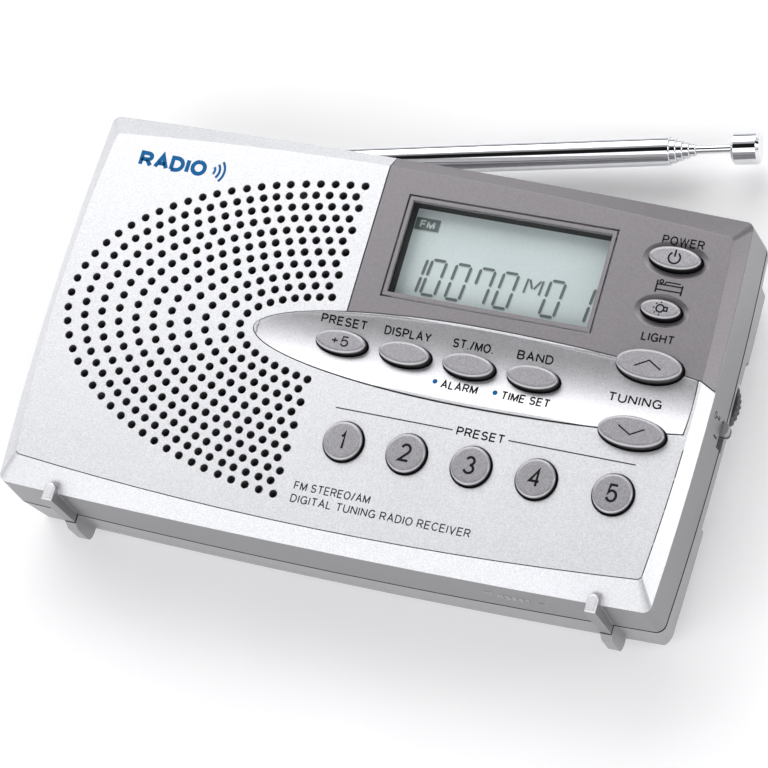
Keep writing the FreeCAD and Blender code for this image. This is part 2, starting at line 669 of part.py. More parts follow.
def rear_shell():
    x0, x1, y0, y1 = COMPARTMENT
    wall = COMPARTMENT_WALL
    shell = rear_body().cut(rear_cavity())
    root = WALL - FUSE
    tray_y0, tray_y1 = COMPARTMENT_TRAY
    tray = box(x0 - wall, x1 + wall, tray_y0, tray_y1, root, PARTING_Z - SHADOW_GAP)
    tray_top = box(x0 - wall, x1 + wall, y0 - FUSE, tray_y1, root, COMPARTMENT_TOP_Z)
    additions = [tray, tray_top, rear_lip()]
    additions += [disc(x, y, REAR_POST_RADIUS, root, PARTING_Z) for x, y in CASE_SCREWS]
    additions += [rib_rear(x) for x in RIB_X]
    half = SADDLE_WIDTH / 2
    for x in SADDLE_X:
        y_low = FERRITE_Y - SADDLE_HALF_DEPTH
        y_high = FERRITE_Y + SADDLE_HALF_DEPTH
        additions.append(box(x - half, x + half, y_low, y_high, root, FERRITE_Z - 0.5))
    shell = fuse_all([shell] + additions)

    cutters = [box(x0, x1, y0, y1, -1, PARTING_Z - 1)]
    cutters.append(box(x0, x1, y0 + 0.6, y1, -1, COMPARTMENT_CEILING_Z))
    cutters.append(door_block(DOOR_GAP, DOOR_GAP))
    cutters += door_rails(DOOR_GAP, -FAR)
    for x, y in CASE_SCREWS:
        cutters.append(disc(x, y, HEAD_WELL_RADIUS, -1, SCREW_HEAD_Z + SCREW_HEAD_HEIGHT))
        cutters.append(disc(x, y, SCREW_HOLE_RADIUS, -1, FAR))
    rod_x0, rod_x1 = FERRITE_SPAN
    cutters.append(bar_x(rod_x0 - 1, rod_x1 + 1, FERRITE_Y, FERRITE_Z, FERRITE_RADIUS + 0.05))
    cutters.append(disc(PIVOT.x, PIVOT.y, STUD_RADIUS + STUD_CLEARANCE, 0, FAR))
    cutters.append(disc(PIVOT.x, PIVOT.y, CLIP_WELL_RADIUS, CLIP_Z[0] - 0.1, FAR))
    margin = WHEEL_SLOT_MARGIN
    slot_radius = WHEEL_RADIUS + margin
    cutters.append(disc(WHEEL_X, WHEEL_Y, slot_radius, WHEEL_BOTTOM_Z - margin, WHEEL_TOP_Z + margin))
    cutters.append(disc(WHEEL_X, WHEEL_Y, POT_RADIUS + margin, WHEEL_TOP_Z, FAR))
    y0, y1, z0, z1 = LOCK_SLOT
    cutters.append(box(LOCK_STEM_START_X - 1.5, FAR, y0, y1, z0, z1))
    x0, x1, y0, y1, z0, z1 = LOCK_BODY
    cutters.append(box(x0 - 0.2, x1 + 0.15, y0 - 0.2, y1 + 0.2, z0 - 0.2, z1 + 0.2))
    return shell.cut(cutters)


def battery_door():
    plate = rear_body().common(door_block(0, 0))
    x0 = DOOR[0] + GRIP_INSET
    x1 = DOOR[1] - GRIP_INSET
    grooves = []
    for i in range(GRIP_GROOVES):
        y = GRIP_FIRST_Y + GRIP_PITCH * i
        grooves.append(box(x0, x1, y, y + GRIP_WIDTH, -1, GRIP_DEPTH))
    return fuse_all([plate] + door_rails(0)).cut(grooves)


# ---------------------------------------------------------------- buttons and switches
def button(x, y, size):
    half_x, half_y, height = size
    top = FACE_Z + height
    bottom = FLANGE_TOP_Z - FLANGE_THICKNESS
    cap = oval(x, y, half_x, half_y, bottom, top)
    cap = cap.makeFillet(BUTTON_EDGE, [edge for edge in cap.Edges if edge.BoundBox.ZMin > top - EPS])
    flange = oval(x, y, half_x + FLANGE_MARGIN, half_y + FLANGE_MARGIN, bottom, FLANGE_TOP_Z)
    plunger = disc(x, y, PLUNGER_RADIUS, PLUNGER_BOTTOM_Z, FLANGE_TOP_Z)
    return fuse_all([cap, flange, plunger])


def tact_switches():
    switches = []
    half = SWITCH_HALF
    for _, x, y, _ in all_buttons():
        body = box(x - half, x + half, y - half, y + half, BOARD_TOP_Z, SWITCH_BODY_Z)
        stem = disc(x, y, SWITCH_STEM_RADIUS, SWITCH_BODY_Z - EPS, SWITCH_TOP_Z)
        switches.append(fuse_all([body, stem]))
    return group(switches)


# ---------------------------------------------------------------- display module
def lcd_panel():
    x0, x1, y0, y1 = LCD
    return box(x0, x1, y0, y1, LCD_TOP_Z - LCD_THICKNESS, LCD_TOP_Z)


def lcd_frame():
    x0, x1, y0, y1 = LCD
    wall = LCD_FRAME
    gap = MODULE_GAP
    outer = box(x0 - wall, x1 + wall, y0 - wall, y1 + wall, BOARD_TOP_Z, LCD_TOP_Z)
    return outer.cut(box(x0 - gap, x1 + gap, y0 - gap, y1 + gap, 0, FAR))


def backlight_guide():
    x0, x1, y0, y1 = LCD
    top = LCD_TOP_Z - LCD_THICKNESS - MODULE_GAP
    return box(x0 + 0.2, x1 - 0.2, y0 + ZEBRA_WIDTH + 0.6, y1 - 0.2, top - GUIDE_THICKNESS, top)


def zebra_strip():
    x0, x1, y0, _ = LCD
    return box(x0 + 0.3, x1 - 0.3, y0 + 0.2, y0 + 0.2 + ZEBRA_WIDTH, BOARD_TOP_Z, LCD_TOP_Z - LCD_THICKNESS)


# ---------------------------------------------------------------- board
def main_board():
    x0, x1, y0, y1 = BOARD
    board = box(x0, x1, y0, y1, BOARD_BOTTOM_Z, BOARD_TOP_Z)
    holes = [disc(x, y, FRONT_POST_RADIUS + 0.3, 0, FAR) for x, y in CASE_SCREWS]
    holes += [disc(x, y, SCREW_HOLE_RADIUS, 0, FAR) for x, y in BOARD_SCREWS]
    return board.cut(holes)


def tuner_can():
    x0, x1, y0, y1 = TUNER_CAN
    sheet = TUNER_CAN_SHEET
    bottom = BOARD_BOTTOM_Z - TUNER_CAN_HEIGHT
    can = box(x0, x1, y0, y1, bottom, BOARD_BOTTOM_Z)
    return can.cut(box(x0 + sheet, x1 - sheet, y0 + sheet, y1 - sheet, bottom + sheet, FAR))


def controller_chip():
    x0, x1, y0, y1 = CHIP
    return box(x0, x1, y0, y1, BOARD_BOTTOM_Z - CHIP_THICKNESS, BOARD_BOTTOM_Z)


def quartz_crystal():
    x0, x1, y0, y1 = CRYSTAL
    can = box(x0, x1, y0, y1, BOARD_BOTTOM_Z - CRYSTAL_HEIGHT, BOARD_BOTTOM_Z)
    return can.makeFillet(0.8, upright_edges(can))


def capacitors():
    bottom = BOARD_BOTTOM_Z - CAPACITOR_HEIGHT
    cans = []
    for x, y in CAPACITORS:
        can = disc(x, y, CAPACITOR_RADIUS, bottom, BOARD_BOTTOM_Z)
        cans.append(can.makeFillet(0.5, [edge for edge in can.Edges if edge.BoundBox.ZMax < bottom + EPS]))
    return group(cans)


def volume_pot():
    body = disc(WHEEL_X, WHEEL_Y, POT_RADIUS, POT_BOTTOM_Z, BOARD_BOTTOM_Z)
    shaft = disc(WHEEL_X, WHEEL_Y, POT_SHAFT_RADIUS, WHEEL_BOTTOM_Z + 0.4, POT_BOTTOM_Z + EPS)
    return fuse_all([body, shaft])


def volume_wheel():
    wheel = disc(WHEEL_X, WHEEL_Y, WHEEL_RADIUS, WHEEL_BOTTOM_Z, WHEEL_TOP_Z)
    wheel = wheel.makeChamfer(0.25, [e for e in wheel.Edges if e.Length > 20 and e.isClosed()])
    cutters = [disc(WHEEL_X, WHEEL_Y, POT_SHAFT_RADIUS + 0.04, 0, FAR)]
    for i in range(WHEEL_TEETH):
        turn = 2 * math.pi * i / WHEEL_TEETH
        x = WHEEL_X + (WHEEL_RADIUS + 0.15) * math.cos(turn)
        y = WHEEL_Y + (WHEEL_RADIUS + 0.15) * math.sin(turn)
        cutters.append(disc(x, y, WHEEL_TOOTH_RADIUS, 0, FAR))
    return wheel.cut(cutters)


def lock_switch_body():
    x0, x1, y0, y1, z0, z1 = LOCK_BODY
    body = box(x0, x1, y0, y1, z0, z1)
    return body.cut(box(x1 - 1.2, FAR, y0 + 0.7, y1 - 0.3, z0 + 0.8, z1 - 0.8))


def lock_slider():
    y0, y1, z0, z1 = LOCK_KNOB
    knob = box(LOCK_STEM_START_X, LOCK_KNOB_TIP_X, y0, y1, z0, z1)
    outer_edges = [edge for edge in upright_edges(knob) if edge.CenterOfMass.x > LOCK_KNOB_TIP_X - 1]
    knob = knob.makeFillet(0.7, outer_edges)
    tongue = box(LOCK_BODY[1] - 1.0, LOCK_STEM_START_X + EPS, y0 + 0.4, y1 - 0.6, z0 + 0.6, z1 - 0.6)
    return fuse_all([knob, tongue])


def earphone_jack():
    half = JACK_BODY_HALF
    bottom = JACK_Z - half + 0.6
    body = box(JACK_BODY_START_X, JACK_BODY_END_X, JACK_Y - half, JACK_Y + half, bottom, JACK_Z + half)
    nose = bar_x(JACK_NOSE_TIP_X, JACK_BODY_START_X + EPS, JACK_Y, JACK_Z, JACK_NOSE_RADIUS - 0.2)
    bore = bar_x(-FAR, JACK_BODY_END_X - 1.0, JACK_Y, JACK_Z, JACK_BORE_RADIUS)
    return fuse_all([body, nose]).cut(bore)


# ---------------------------------------------------------------- speaker
def cone_shell(top_radius, top_z, low_radius, low_z, thickness):
    height = top_z - low_z
    outer = Part.makeCone(low_radius, top_radius, height, Vector(SPEAKER_X, SPEAKER_Y, low_z))
    inner_base = Vector(SPEAKER_X, SPEAKER_Y, low_z - EPS)
    inner = Part.makeCone(low_radius - thickness, top_radius - thickness, height + 2 * EPS, inner_base)
    return outer.cut(inner)


def speaker_basket():
    flange_top = SPEAKER_RING_Z - CLOTH_THICKNESS
    flange_bottom = flange_top - BASKET_FLANGE
    flange = tube(SPEAKER_X, SPEAKER_Y, SPEAKER_RADIUS, SPEAKER_RADIUS - 2.2, flange_bottom, flange_top)
    bottom = BASKET_BOTTOM_Z
    sheet = BASKET_SHEET
    wall = cone_shell(SPEAKER_RADIUS - 1.8, flange_bottom + FUSE, BASKET_BOTTOM_RADIUS, bottom, sheet)
    floor = tube(SPEAKER_X, SPEAKER_Y, BASKET_BOTTOM_RADIUS, BASKET_FLOOR_HOLE, bottom, bottom + sheet)
    basket = fuse_all([flange, wall, floor])
    windows = []
    start = BASKET_BOTTOM_RADIUS + 2 * sheet
    for i in range(BASKET_WINDOWS):
        turn = (i + 0.5) * 360 / BASKET_WINDOWS
        slot = box(start, SPEAKER_RADIUS - 3.6, -3.5, 3.5, bottom - 1, flange_bottom + 0.6)
        slot.rotate(Vector(0, 0, 0), Vector(0, 0, 1), turn)
        slot.translate(Vector(SPEAKER_X, SPEAKER_Y, 0))
        windows.append(slot)
    return basket.cut(windows)


def speaker_cone():
    """The paper cone with its dust dome and the short voice-coil former under it."""
    top = SPEAKER_RING_Z - CLOTH_THICKNESS - CONE_DROP
    neck = CONE_NECK_RADIUS
    low = CONE_NECK_Z
    paper = cone_shell(SPEAKER_RADIUS - CONE_EDGE_INSET, top, neck, low, CONE_THICKNESS)
    centre = Vector(SPEAKER_X, SPEAKER_Y, low - DOME_DROP)
    dome = Part.makeSphere(DOME_RADIUS, centre).cut(Part.makeSphere(DOME_RADIUS - DOME_THICKNESS, centre))
    dome = dome.common(disc(SPEAKER_X, SPEAKER_Y, neck - 0.3, low, FAR))
    former = tube(SPEAKER_X, SPEAKER_Y, neck, neck - 0.6, low - 1.2, low + 0.4)
    return fuse_all([paper, dome, former])


def speaker_magnet():
    magnet = disc(SPEAKER_X, SPEAKER_Y, MAGNET_RADIUS, MAGNET_BOTTOM_Z, BASKET_BOTTOM_Z)
    pole = disc(SPEAKER_X, SPEAKER_Y, POLE_RADIUS, BASKET_BOTTOM_Z - EPS, BASKET_BOTTOM_Z + 1.6)
    return fuse_all([magnet, pole])


def speaker_cloth():
    return disc(SPEAKER_X, SPEAKER_Y, SPEAKER_RADIUS, SPEAKER_RING_Z - CLOTH_THICKNESS, SPEAKER_RING_Z)


# ---------------------------------------------------------------- power and AM aerial
def cell(y, plus_right):
    body = bar_x(CELL_X, CELL_X + CELL_LENGTH, y, CELL_Z, CELL_RADIUS)
    body = body.makeFillet(0.5, [edge for edge in body.Edges if edge.isClosed()])
    start = CELL_X + CELL_LENGTH - EPS if plus_right else CELL_X - CELL_NUB_LENGTH
    nub = bar_x(start, start + CELL_NUB_LENGTH + EPS, y, CELL_Z, CELL_NUB_RADIUS)
    return fuse_all([body, nub])


def battery_cells():
    return group([cell(CELL_Y[0], True), cell(CELL_Y[1], False)])


def contact_plate(x, y):
    half = CONTACT_HALF
    return box(x, x + CONTACT_THICKNESS, y - half, y + half, CELL_Z - half, CELL_Z + half)


def contact_spring(x0, x1, y):
    """A spring from x0 to x1, along +X, that presses on a cell's flat end. Its wire has many small flats."""
    length = x1 - x0 - 2 * SPRING_WIRE
    helix = Part.makeHelix(length / SPRING_TURNS, length, SPRING_RADIUS)
    turns = [2 * math.pi * i / SPRING_WIRE_FLATS for i in range(SPRING_WIRE_FLATS)]
    corners = [Vector(SPRING_RADIUS + SPRING_WIRE * math.cos(t), 0, SPRING_WIRE * math.sin(t)) for t in turns]
    profile = Part.makePolygon(corners + corners[:1])
    wire = Part.Wire(helix).makePipeShell([profile], True, True)
    wire.rotate(Vector(0, 0, 0), Vector(0, 1, 0), 90)
    wire.translate(Vector(x0 + SPRING_WIRE, y, CELL_Z))
    return wire


def battery_contacts():
    x0, x1, _, _ = COMPARTMENT
    return group([contact_plate(x, y) for x in (x0, x1 - CONTACT_THICKNESS) for y in CELL_Y])


def battery_springs():
    x0, x1, _, _ = COMPARTMENT
    left = contact_spring(x0 + CONTACT_THICKNESS, CELL_X, CELL_Y[0])
    right = contact_spring(CELL_X + CELL_LENGTH, x1 - CONTACT_THICKNESS, CELL_Y[1])
    return group([left, right])


def ferrite_rod():
    return bar_x(*FERRITE_SPAN, FERRITE_Y, FERRITE_Z, FERRITE_RADIUS)


def aerial_coil():
    outer = bar_x(*COIL_SPAN, FERRITE_Y, FERRITE_Z, COIL_RADIUS)
    return outer.cut(bar_x(COIL_SPAN[0] - 1, COIL_SPAN[1] + 1, FERRITE_Y, FERRITE_Z, FERRITE_RADIUS))


# ---------------------------------------------------------------- screws
def screw(x, y, head_z, tip_z, head_radius=SCREW_HEAD_RADIUS):
    """A pan-head screw with its head low and its tip up, and a cross recess in the head."""
    head = disc(x, y, head_radius, head_z, head_z + SCREW_HEAD_HEIGHT)
    head = head.makeFillet(0.4, [edge for edge in head.Edges if edge.BoundBox.ZMax < head_z + EPS])
    body = head.fuse(disc(x, y, SCREW_RADIUS, head_z, tip_z)).removeSplitter()
    long = CROSS_HALF
    short = CROSS_HALF / 5
    cross_top = head_z + CROSS_DEPTH
    cross = [box(x - long, x + long, y - short, y + short, head_z - 1, cross_top)]
    cross.append(box(x - short, x + short, y - long, y + long, head_z - 1, cross_top))
    return body.cut(cross)


def case_screws():
    return group([screw(x, y, SCREW_HEAD_Z, SCREW_TIP_Z) for x, y in CASE_SCREWS])


def board_screws():
    head_z = BOARD_BOTTOM_Z - SCREW_HEAD_HEIGHT
    tip_z = BOARD_TOP_Z + BOARD_SCREW_LENGTH
    return group([screw(x, y, head_z, tip_z) for x, y in BOARD_SCREWS])


def speaker_screws():
    flange_bottom = SPEAKER_RING_Z - CLOTH_THICKNESS - BASKET_FLANGE
    head_z = flange_bottom - SCREW_HEAD_HEIGHT
    tip_z = SPEAKER_RING_Z + 0.8
    places = speaker_screw_places()
    return group([screw(x, y, head_z, tip_z, SPEAKER_SCREW_HEAD_RADIUS) for x, y in places])


# ---------------------------------------------------------------- antenna
def along_antenna(shape):
    """Turns a shape built along +X from the pivot to the antenna's angle, and puts it in place."""
    placed = shape.copy()
    placed.rotate(Vector(0, 0, 0), Vector(0, 0, 1), ANTENNA_ANGLE)
    placed.translate(PIVOT)
    return placed


def cross_pin(radius, half_length):
    return Part.makeCylinder(radius, 2 * half_length, Vector(0, -half_length, 0), Vector(0, 1, 0))


def antenna_swivel():
    """The swivel: a stud through the channel wall, a round head and two cheeks that carry the tilt pin."""
    stud = disc(0, 0, STUD_RADIUS, HEAD_Z[0] - PIVOT.z, STUD_TOP_Z - PIVOT.z)
    head = disc(0, 0, HEAD_RADIUS, HEAD_Z[0] - PIVOT.z, HEAD_Z[1] - PIVOT.z)
    cheeks = []
    for y0, y1 in ((-CHEEK_OUTER, -CHEEK_INNER), (CHEEK_INNER, CHEEK_OUTER)):
        lug = Part.makeCylinder(CHEEK_RADIUS, y1 - y0, Vector(0, y0, 0), Vector(0, 1, 0))
        stem = box(-CHEEK_RADIUS, CHEEK_RADIUS, y0, y1, 0, HEAD_Z[0] - PIVOT.z + EPS)
        cheeks += [lug, stem]
    cheeks = [cheek.common(disc(0, 0, HEAD_RADIUS, -5, 5)) for cheek in cheeks]
    body = fuse_all([stud, head] + cheeks)
    return along_antenna(body.cut(cross_pin(PIN_RADIUS, 4)))


def antenna_clip():
    """The ring pressed on the stud's end, which holds the swivel in the channel wall."""
    ring = disc(0, 0, CLIP_RADIUS, CLIP_Z[0] - PIVOT.z, CLIP_Z[1] - PIVOT.z)
    return along_antenna(ring.cut(disc(0, 0, STUD_RADIUS, 0, 20)))


def antenna_tilt_pin():
    return along_antenna(cross_pin(PIN_RADIUS, CHEEK_OUTER))


def antenna_knuckle():
    """The tang that turns on the tilt pin, and the plug that closes the base tube."""
    eye = Part.makeCylinder(TANG_RADIUS, 2 * TANG_HALF, Vector(0, -TANG_HALF, 0), Vector(0, 1, 0))
    arm = box(0, FERRULE_START + EPS, -TANG_HALF, TANG_HALF, -TANG_RADIUS, TANG_RADIUS)
    collar = bar_x(FERRULE_START, TUBE_START, 0, 0, TUBE_RADII[0])
    plug = bar_x(FERRULE_START, FERRULE_END, 0, 0, TUBE_RADII[0] - TUBE_WALL)
    body = fuse_all([eye, arm, collar, plug])
    return along_antenna(body.cut(cross_pin(PIN_RADIUS + PIN_CLEARANCE, 4)))


def antenna_tube(index):
    """One telescopic section, counted from the widest. Its open end is rolled in a little."""
    outer = TUBE_RADII[index]
    end = TUBE_END + index * TUBE_STEP
    start = TUBE_START if index == 0 else end - INNER_TUBE_LENGTH
    section = bar_x(start, end, 0, 0, outer)
    rim = [edge for edge in section.Edges if edge.isClosed() and edge.CenterOfMass.x > end - EPS]
    section = section.makeFillet(TUBE_RIM_RADIUS, rim)
    return along_antenna(section.cut(bar_x(start - 1, end + 1, 0, 0, outer - TUBE_WALL)))


def rod_end():
    return TUBE_END + (len(TUBE_RADII) - 1) * TUBE_STEP + ROD_EXPOSED


def antenna_rod():
    return along_antenna(bar_x(LAST_ROD_START, rod_end(), 0, 0, LAST_ROD_RADIUS))


def antenna_cap():
    cap = bar_x(rod_end(), rod_end() + CAP_LENGTH, 0, 0, CAP_RADIUS)
    return along_antenna(cap.makeChamfer(CAP_CHAMFER, [edge for edge in cap.Edges if edge.isClosed()]))


# ---------------------------------------------------------------- export
def parts():
    nodes = {
        "front_shell": front_shell(),
        "rear_shell": rear_shell(),
        "battery_door": battery_door(),
        "display_panel": display_panel(),
        "control_panel": control_panel(),
        "display_lens": display_lens(),
        "lcd_panel": lcd_panel(),
        "lcd_frame": lcd_frame(),
        "backlight_guide": backlight_guide(),
        "zebra_strip": zebra_strip(),
        "main_board": main_board(),
        "tact_switches": tact_switches(),
        "tuner_can": tuner_can(),
        "controller_chip": controller_chip(),
        "quartz_crystal": quartz_crystal(),
        "capacitors": capacitors(),
        "volume_pot": volume_pot(),
        "volume_wheel": volume_wheel(),
        "lock_switch_body": lock_switch_body(),
        "lock_slider": lock_slider(),
        "earphone_jack": earphone_jack(),
        "speaker_basket": speaker_basket(),
        "speaker_cone": speaker_cone(),
        "speaker_magnet": speaker_magnet(),
        "speaker_cloth": speaker_cloth(),
        "speaker_screws": speaker_screws(),
        "battery_cells": battery_cells(),
        "battery_contacts": battery_contacts(),
        "battery_springs": battery_springs(),
        "ferrite_rod": ferrite_rod(),
        "aerial_coil": aerial_coil(),
        "case_screws": case_screws(),
        "board_screws": board_screws(),
        "antenna_swivel": antenna_swivel(),
        "antenna_clip": antenna_clip(),
        "antenna_tilt_pin": antenna_tilt_pin(),
        "antenna_knuckle": antenna_knuckle(),
        "antenna_rod": antenna_rod(),
        "antenna_cap": antenna_cap(),
    }
    for name, x, y, size in all_buttons():
        nodes[name] = button(x, y, size)
    for index in range(len(TUBE_RADII)):
        nodes[f"antenna_tube_{index + 1}"] = antenna_tube(index)
    return nodes


def main():
    os.makedirs("parts", exist_ok=True)
    for name, shape in parts().items():
        solids = len(shape.Solids)
        print(f"{name}: {solids} solid, {shape.Volume:.1f} mm3, valid {shape.isValid()}")
        shape.exportStep(f"parts/{name}.step")


main()
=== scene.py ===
import json
import math

import bmesh
import bpy
from mathutils import Matrix, Vector
from mathutils.bvhtree import BVHTree


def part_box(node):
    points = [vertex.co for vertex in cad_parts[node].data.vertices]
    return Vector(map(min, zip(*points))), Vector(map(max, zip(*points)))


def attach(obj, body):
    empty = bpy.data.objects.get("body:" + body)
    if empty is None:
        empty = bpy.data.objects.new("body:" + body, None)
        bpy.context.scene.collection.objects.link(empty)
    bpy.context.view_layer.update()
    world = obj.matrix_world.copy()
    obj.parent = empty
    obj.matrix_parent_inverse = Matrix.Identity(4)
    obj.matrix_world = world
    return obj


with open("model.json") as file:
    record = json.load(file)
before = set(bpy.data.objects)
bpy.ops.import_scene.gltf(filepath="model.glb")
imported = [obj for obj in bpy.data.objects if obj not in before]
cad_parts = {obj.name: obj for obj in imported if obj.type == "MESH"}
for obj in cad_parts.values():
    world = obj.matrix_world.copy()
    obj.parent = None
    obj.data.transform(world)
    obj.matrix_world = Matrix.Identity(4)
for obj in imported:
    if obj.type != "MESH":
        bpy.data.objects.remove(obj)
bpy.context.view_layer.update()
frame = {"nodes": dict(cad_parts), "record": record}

MM = 0.001
FLAT_NORMAL = 0.999        # a face counts as flat when its normal's Z is above this

# Printed films, in metres
INK_THICKNESS = 0.015 * MM
INK_SINK = 0.01 * MM
THIN_FILM = 0.006 * MM
SEGMENT_FILM = 0.02 * MM
BORDER_FILM = 0.01 * MM
RAISED_MARK = 0.12 * MM

# The painted shadow along the groove between the shells: height of its middle, half width and soft border, in
# mm
SEAM_MIDDLE = 10.8
SEAM_HALF = 0.26
SEAM_FADE = 0.08

SLOT_OF = {part["node"]: part["material_slot"] for part in frame["record"]["subparts"]}
BODY_OF = {node: body for body, nodes in frame["record"]["behaviour"]["bodies"].items() for node in nodes}

OVAL_BUTTONS = ("preset_shift_button", "display_button", "stereo_mono_button", "band_button")
PRESET_BUTTONS = [f"preset_button_{i}" for i in range(1, 6)]


def middle(node):
    low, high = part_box(node)
    return (low + high) / 2 / MM


# ---------------------------------------------------------------- node helpers
class Nodes:
    """A small helper around one material's node tree."""

    def __init__(self, name):
        self.material = bpy.data.materials.new(name)
        self.material.use_nodes = True
        self.tree = self.material.node_tree
        self.shader = self.tree.nodes["Principled BSDF"]
        self.output = self.tree.nodes["Material Output"]
        self.place = self.add("ShaderNodeTexCoord").outputs["Object"]

    def add(self, kind, **values):
        node = self.tree.nodes.new(kind)
        for key, value in values.items():
            setattr(node, key, value)
        return node

    def link(self, source, target):
        self.tree.links.new(source, target)

    def noise(self, size_mm, detail=3.0, roughness=0.55, place=None):
        node = self.add("ShaderNodeTexNoise")
        node.inputs["Scale"].default_value = 1 / (size_mm * MM)
        node.inputs["Detail"].default_value = detail
        node.inputs["Roughness"].default_value = roughness
        self.link(place or self.place, node.inputs["Vector"])
        return node.outputs["Fac"]

    def flakes(self, size_mm):
        node = self.add("ShaderNodeTexVoronoi")
        node.inputs["Scale"].default_value = 1 / (size_mm * MM)
        self.link(self.place, node.inputs["Vector"])
        grey = self.add("ShaderNodeSeparateColor")
        self.link(node.outputs["Color"], grey.inputs["Color"])
        return grey.outputs["Red"]

    def ramp(self, value, stops):
        node = self.add("ShaderNodeValToRGB")
        elements = node.color_ramp.elements
        while len(elements) < len(stops):
            elements.new(0.5)
        for element, (position, colour) in zip(elements, stops):
            element.position = position
            element.color = (*colour, 1.0) if len(colour) == 3 else colour
        self.link(value, node.inputs["Fac"])
        return node.outputs["Color"]

    def span(self, value, low, high, from_low=0.0, from_high=1.0):
        node = self.add("ShaderNodeMapRange")
        node.inputs["From Min"].default_value = from_low
        node.inputs["From Max"].default_value = from_high
        node.inputs["To Min"].default_value = low
        node.inputs["To Max"].default_value = high
        self.link(value, node.inputs["Value"])
        return node.outputs["Result"]

    def math(self, operation, first, second):
        node = self.add("ShaderNodeMath", operation=operation)
        for socket, value in zip(node.inputs, (first, second)):
            if isinstance(value, (int, float)):
                socket.default_value = value
            else:
                self.link(value, socket)
        return node.outputs["Value"]

    def mix(self, factor, first, second, blend="MIX"):
        node = self.add("ShaderNodeMix", data_type="RGBA", blend_type=blend)
        for socket, value in ((node.inputs[0], factor), (node.inputs[6], first), (node.inputs[7], second)):
            if isinstance(value, (int, float)):
                socket.default_value = value
            elif isinstance(value, tuple):
                socket.default_value = (*value, 1.0)
            else:
                self.link(value, socket)
        return node.outputs[2]

    def bump(self, height, depth_mm, strength=1.0, under=None):
        node = self.add("ShaderNodeBump")
        node.inputs["Strength"].default_value = strength
        node.inputs["Distance"].default_value = depth_mm * MM
        self.link(height, node.inputs["Height"])
        if under is not None:
            self.link(under, node.inputs["Normal"])
        return node.outputs["Normal"]

    def soft_edges(self, radius_mm):
        node = self.add("ShaderNodeBevel", samples=4)
        node.inputs["Radius"].default_value = radius_mm * MM
        return node.outputs["Normal"]

    def edge_mask(self, rounded):
        """1 on edges, where the rounded normal leaves the true one, and 0 on flats."""
        true_normal = self.add("ShaderNodeNewGeometry").outputs["True Normal"]
        dot = self.add("ShaderNodeVectorMath", operation="DOT_PRODUCT")
        self.link(rounded, dot.inputs[0])
        self.link(true_normal, dot.inputs[1])
        return self.span(dot.outputs["Value"], 1.0, 0.0, 0.86, 0.995)

    def seam_mask(self):
        """Where the groove's painted shadow goes: 1 within the groove between the shells, with uneven
        borders, and 0 elsewhere.
        """
        height = self.add("ShaderNodeSeparateXYZ")
        self.link(self.place, height.inputs["Vector"])
        uneven = self.span(self.noise(0.8), -0.03 * MM, 0.03 * MM)
        off_middle = self.math("ABSOLUTE", self.math("SUBTRACT", height.outputs["Z"], SEAM_MIDDLE * MM), 0)
        distance = self.math("ADD", off_middle, uneven)
        return self.span(distance, 1.0, 0.0, SEAM_HALF * MM, (SEAM_HALF + SEAM_FADE) * MM)

    def set(self, **values):
        for name, value in values.items():
            socket = self.shader.inputs[name.replace("_", " ")]
            if isinstance(value, bpy.types.NodeSocket):
                self.link(value, socket)
            elif isinstance(value, tuple):
                socket.default_value = (*value, 1.0)
            else:
                socket.default_value = value
        return self.material


# ---------------------------------------------------------------- materials
def metallic_paint(name, colour, worn, metallic, roughness, flake=0.16, contrast=0.16, edge=0.18, painted_side_shade=None,
                   painted_rim_highlight=None, seam=False):
    """Sprayed metallic paint: fine flakes, faint clouding, and slightly polished edges.

    The side colour darkens upright sides: painted shade on sides that the light hardly reaches.
    The rim colour lightens the nearly level shoulders of rounded edges: a painted highlight.
    The seam switch colours the groove between the two shells near black: a painted shadow.
    """
    n = Nodes(name)
    sparkle = n.mix(0.5, n.flakes(flake), n.noise(flake * 1.6))
    clouds = n.noise(14.0, 2.0)
    shade = n.math("ADD", n.span(sparkle, -contrast, contrast), n.span(clouds, -0.03, 0.03))
    lift = n.add("ShaderNodeHueSaturation")
    lift.inputs["Color"].default_value = (*colour, 1.0)
    n.link(n.math("ADD", shade, 1.0), lift.inputs["Value"])
    rounded = n.soft_edges(edge)
    worn_edge = n.math("MULTIPLY", n.edge_mask(rounded), n.span(n.noise(1.3), 0.15, 0.6))
    painted = lift.outputs["Color"]
    facing = n.add("ShaderNodeSeparateXYZ")
    n.link(rounded, facing.inputs["Vector"])
    # Painted highlight: the shoulders of rounded edges get the brighter rim colour.
    if painted_rim_highlight is not None:
        painted = n.mix(n.span(facing.outputs["Z"], 1.0, 0.0, 0.93, 0.97), painted, painted_rim_highlight)
    # Painted shade: upright sides get the darker side colour.
    if painted_side_shade is not None:
        painted = n.mix(n.span(facing.outputs["Z"], 1.0, 0.0, 0.2, 0.6), painted, painted_side_shade)
    surface = n.mix(worn_edge, painted, worn)
    # Painted shadow: the groove between the shells is coloured near black.
    if seam:
        surface = n.mix(n.seam_mask(), surface, (0.015, 0.014, 0.015))
    rough = n.math("ADD", n.span(sparkle, roughness - 0.07, roughness + 0.07), n.span(clouds, -0.03, 0.03))
    normal = n.bump(sparkle, 0.012, 0.6, rounded)
    return n.set(Base_Color=surface, Metallic=metallic, Roughness=rough, Normal=normal)


def moulded_plastic(name, colour, roughness, grain=0.25, depth=0.02, edge=0.12):
    """Unpainted moulded plastic with a fine spark-eroded grain."""
    n = Nodes(name)
    grain_noise = n.noise(grain, 4.0)
    light = tuple(min(1.0, c * 1.18 + 0.004) for c in colour)
    dark = tuple(c * 0.86 for c in colour)
    surface = n.ramp(n.noise(5.0, 3.0), [(0.3, dark), (0.7, light)])
    rough = n.span(grain_noise, roughness - 0.08, roughness + 0.08)
    normal = n.bump(grain_noise, depth, 0.7, n.soft_edges(edge))
    return n.set(Base_Color=surface, Roughness=rough, Normal=normal)


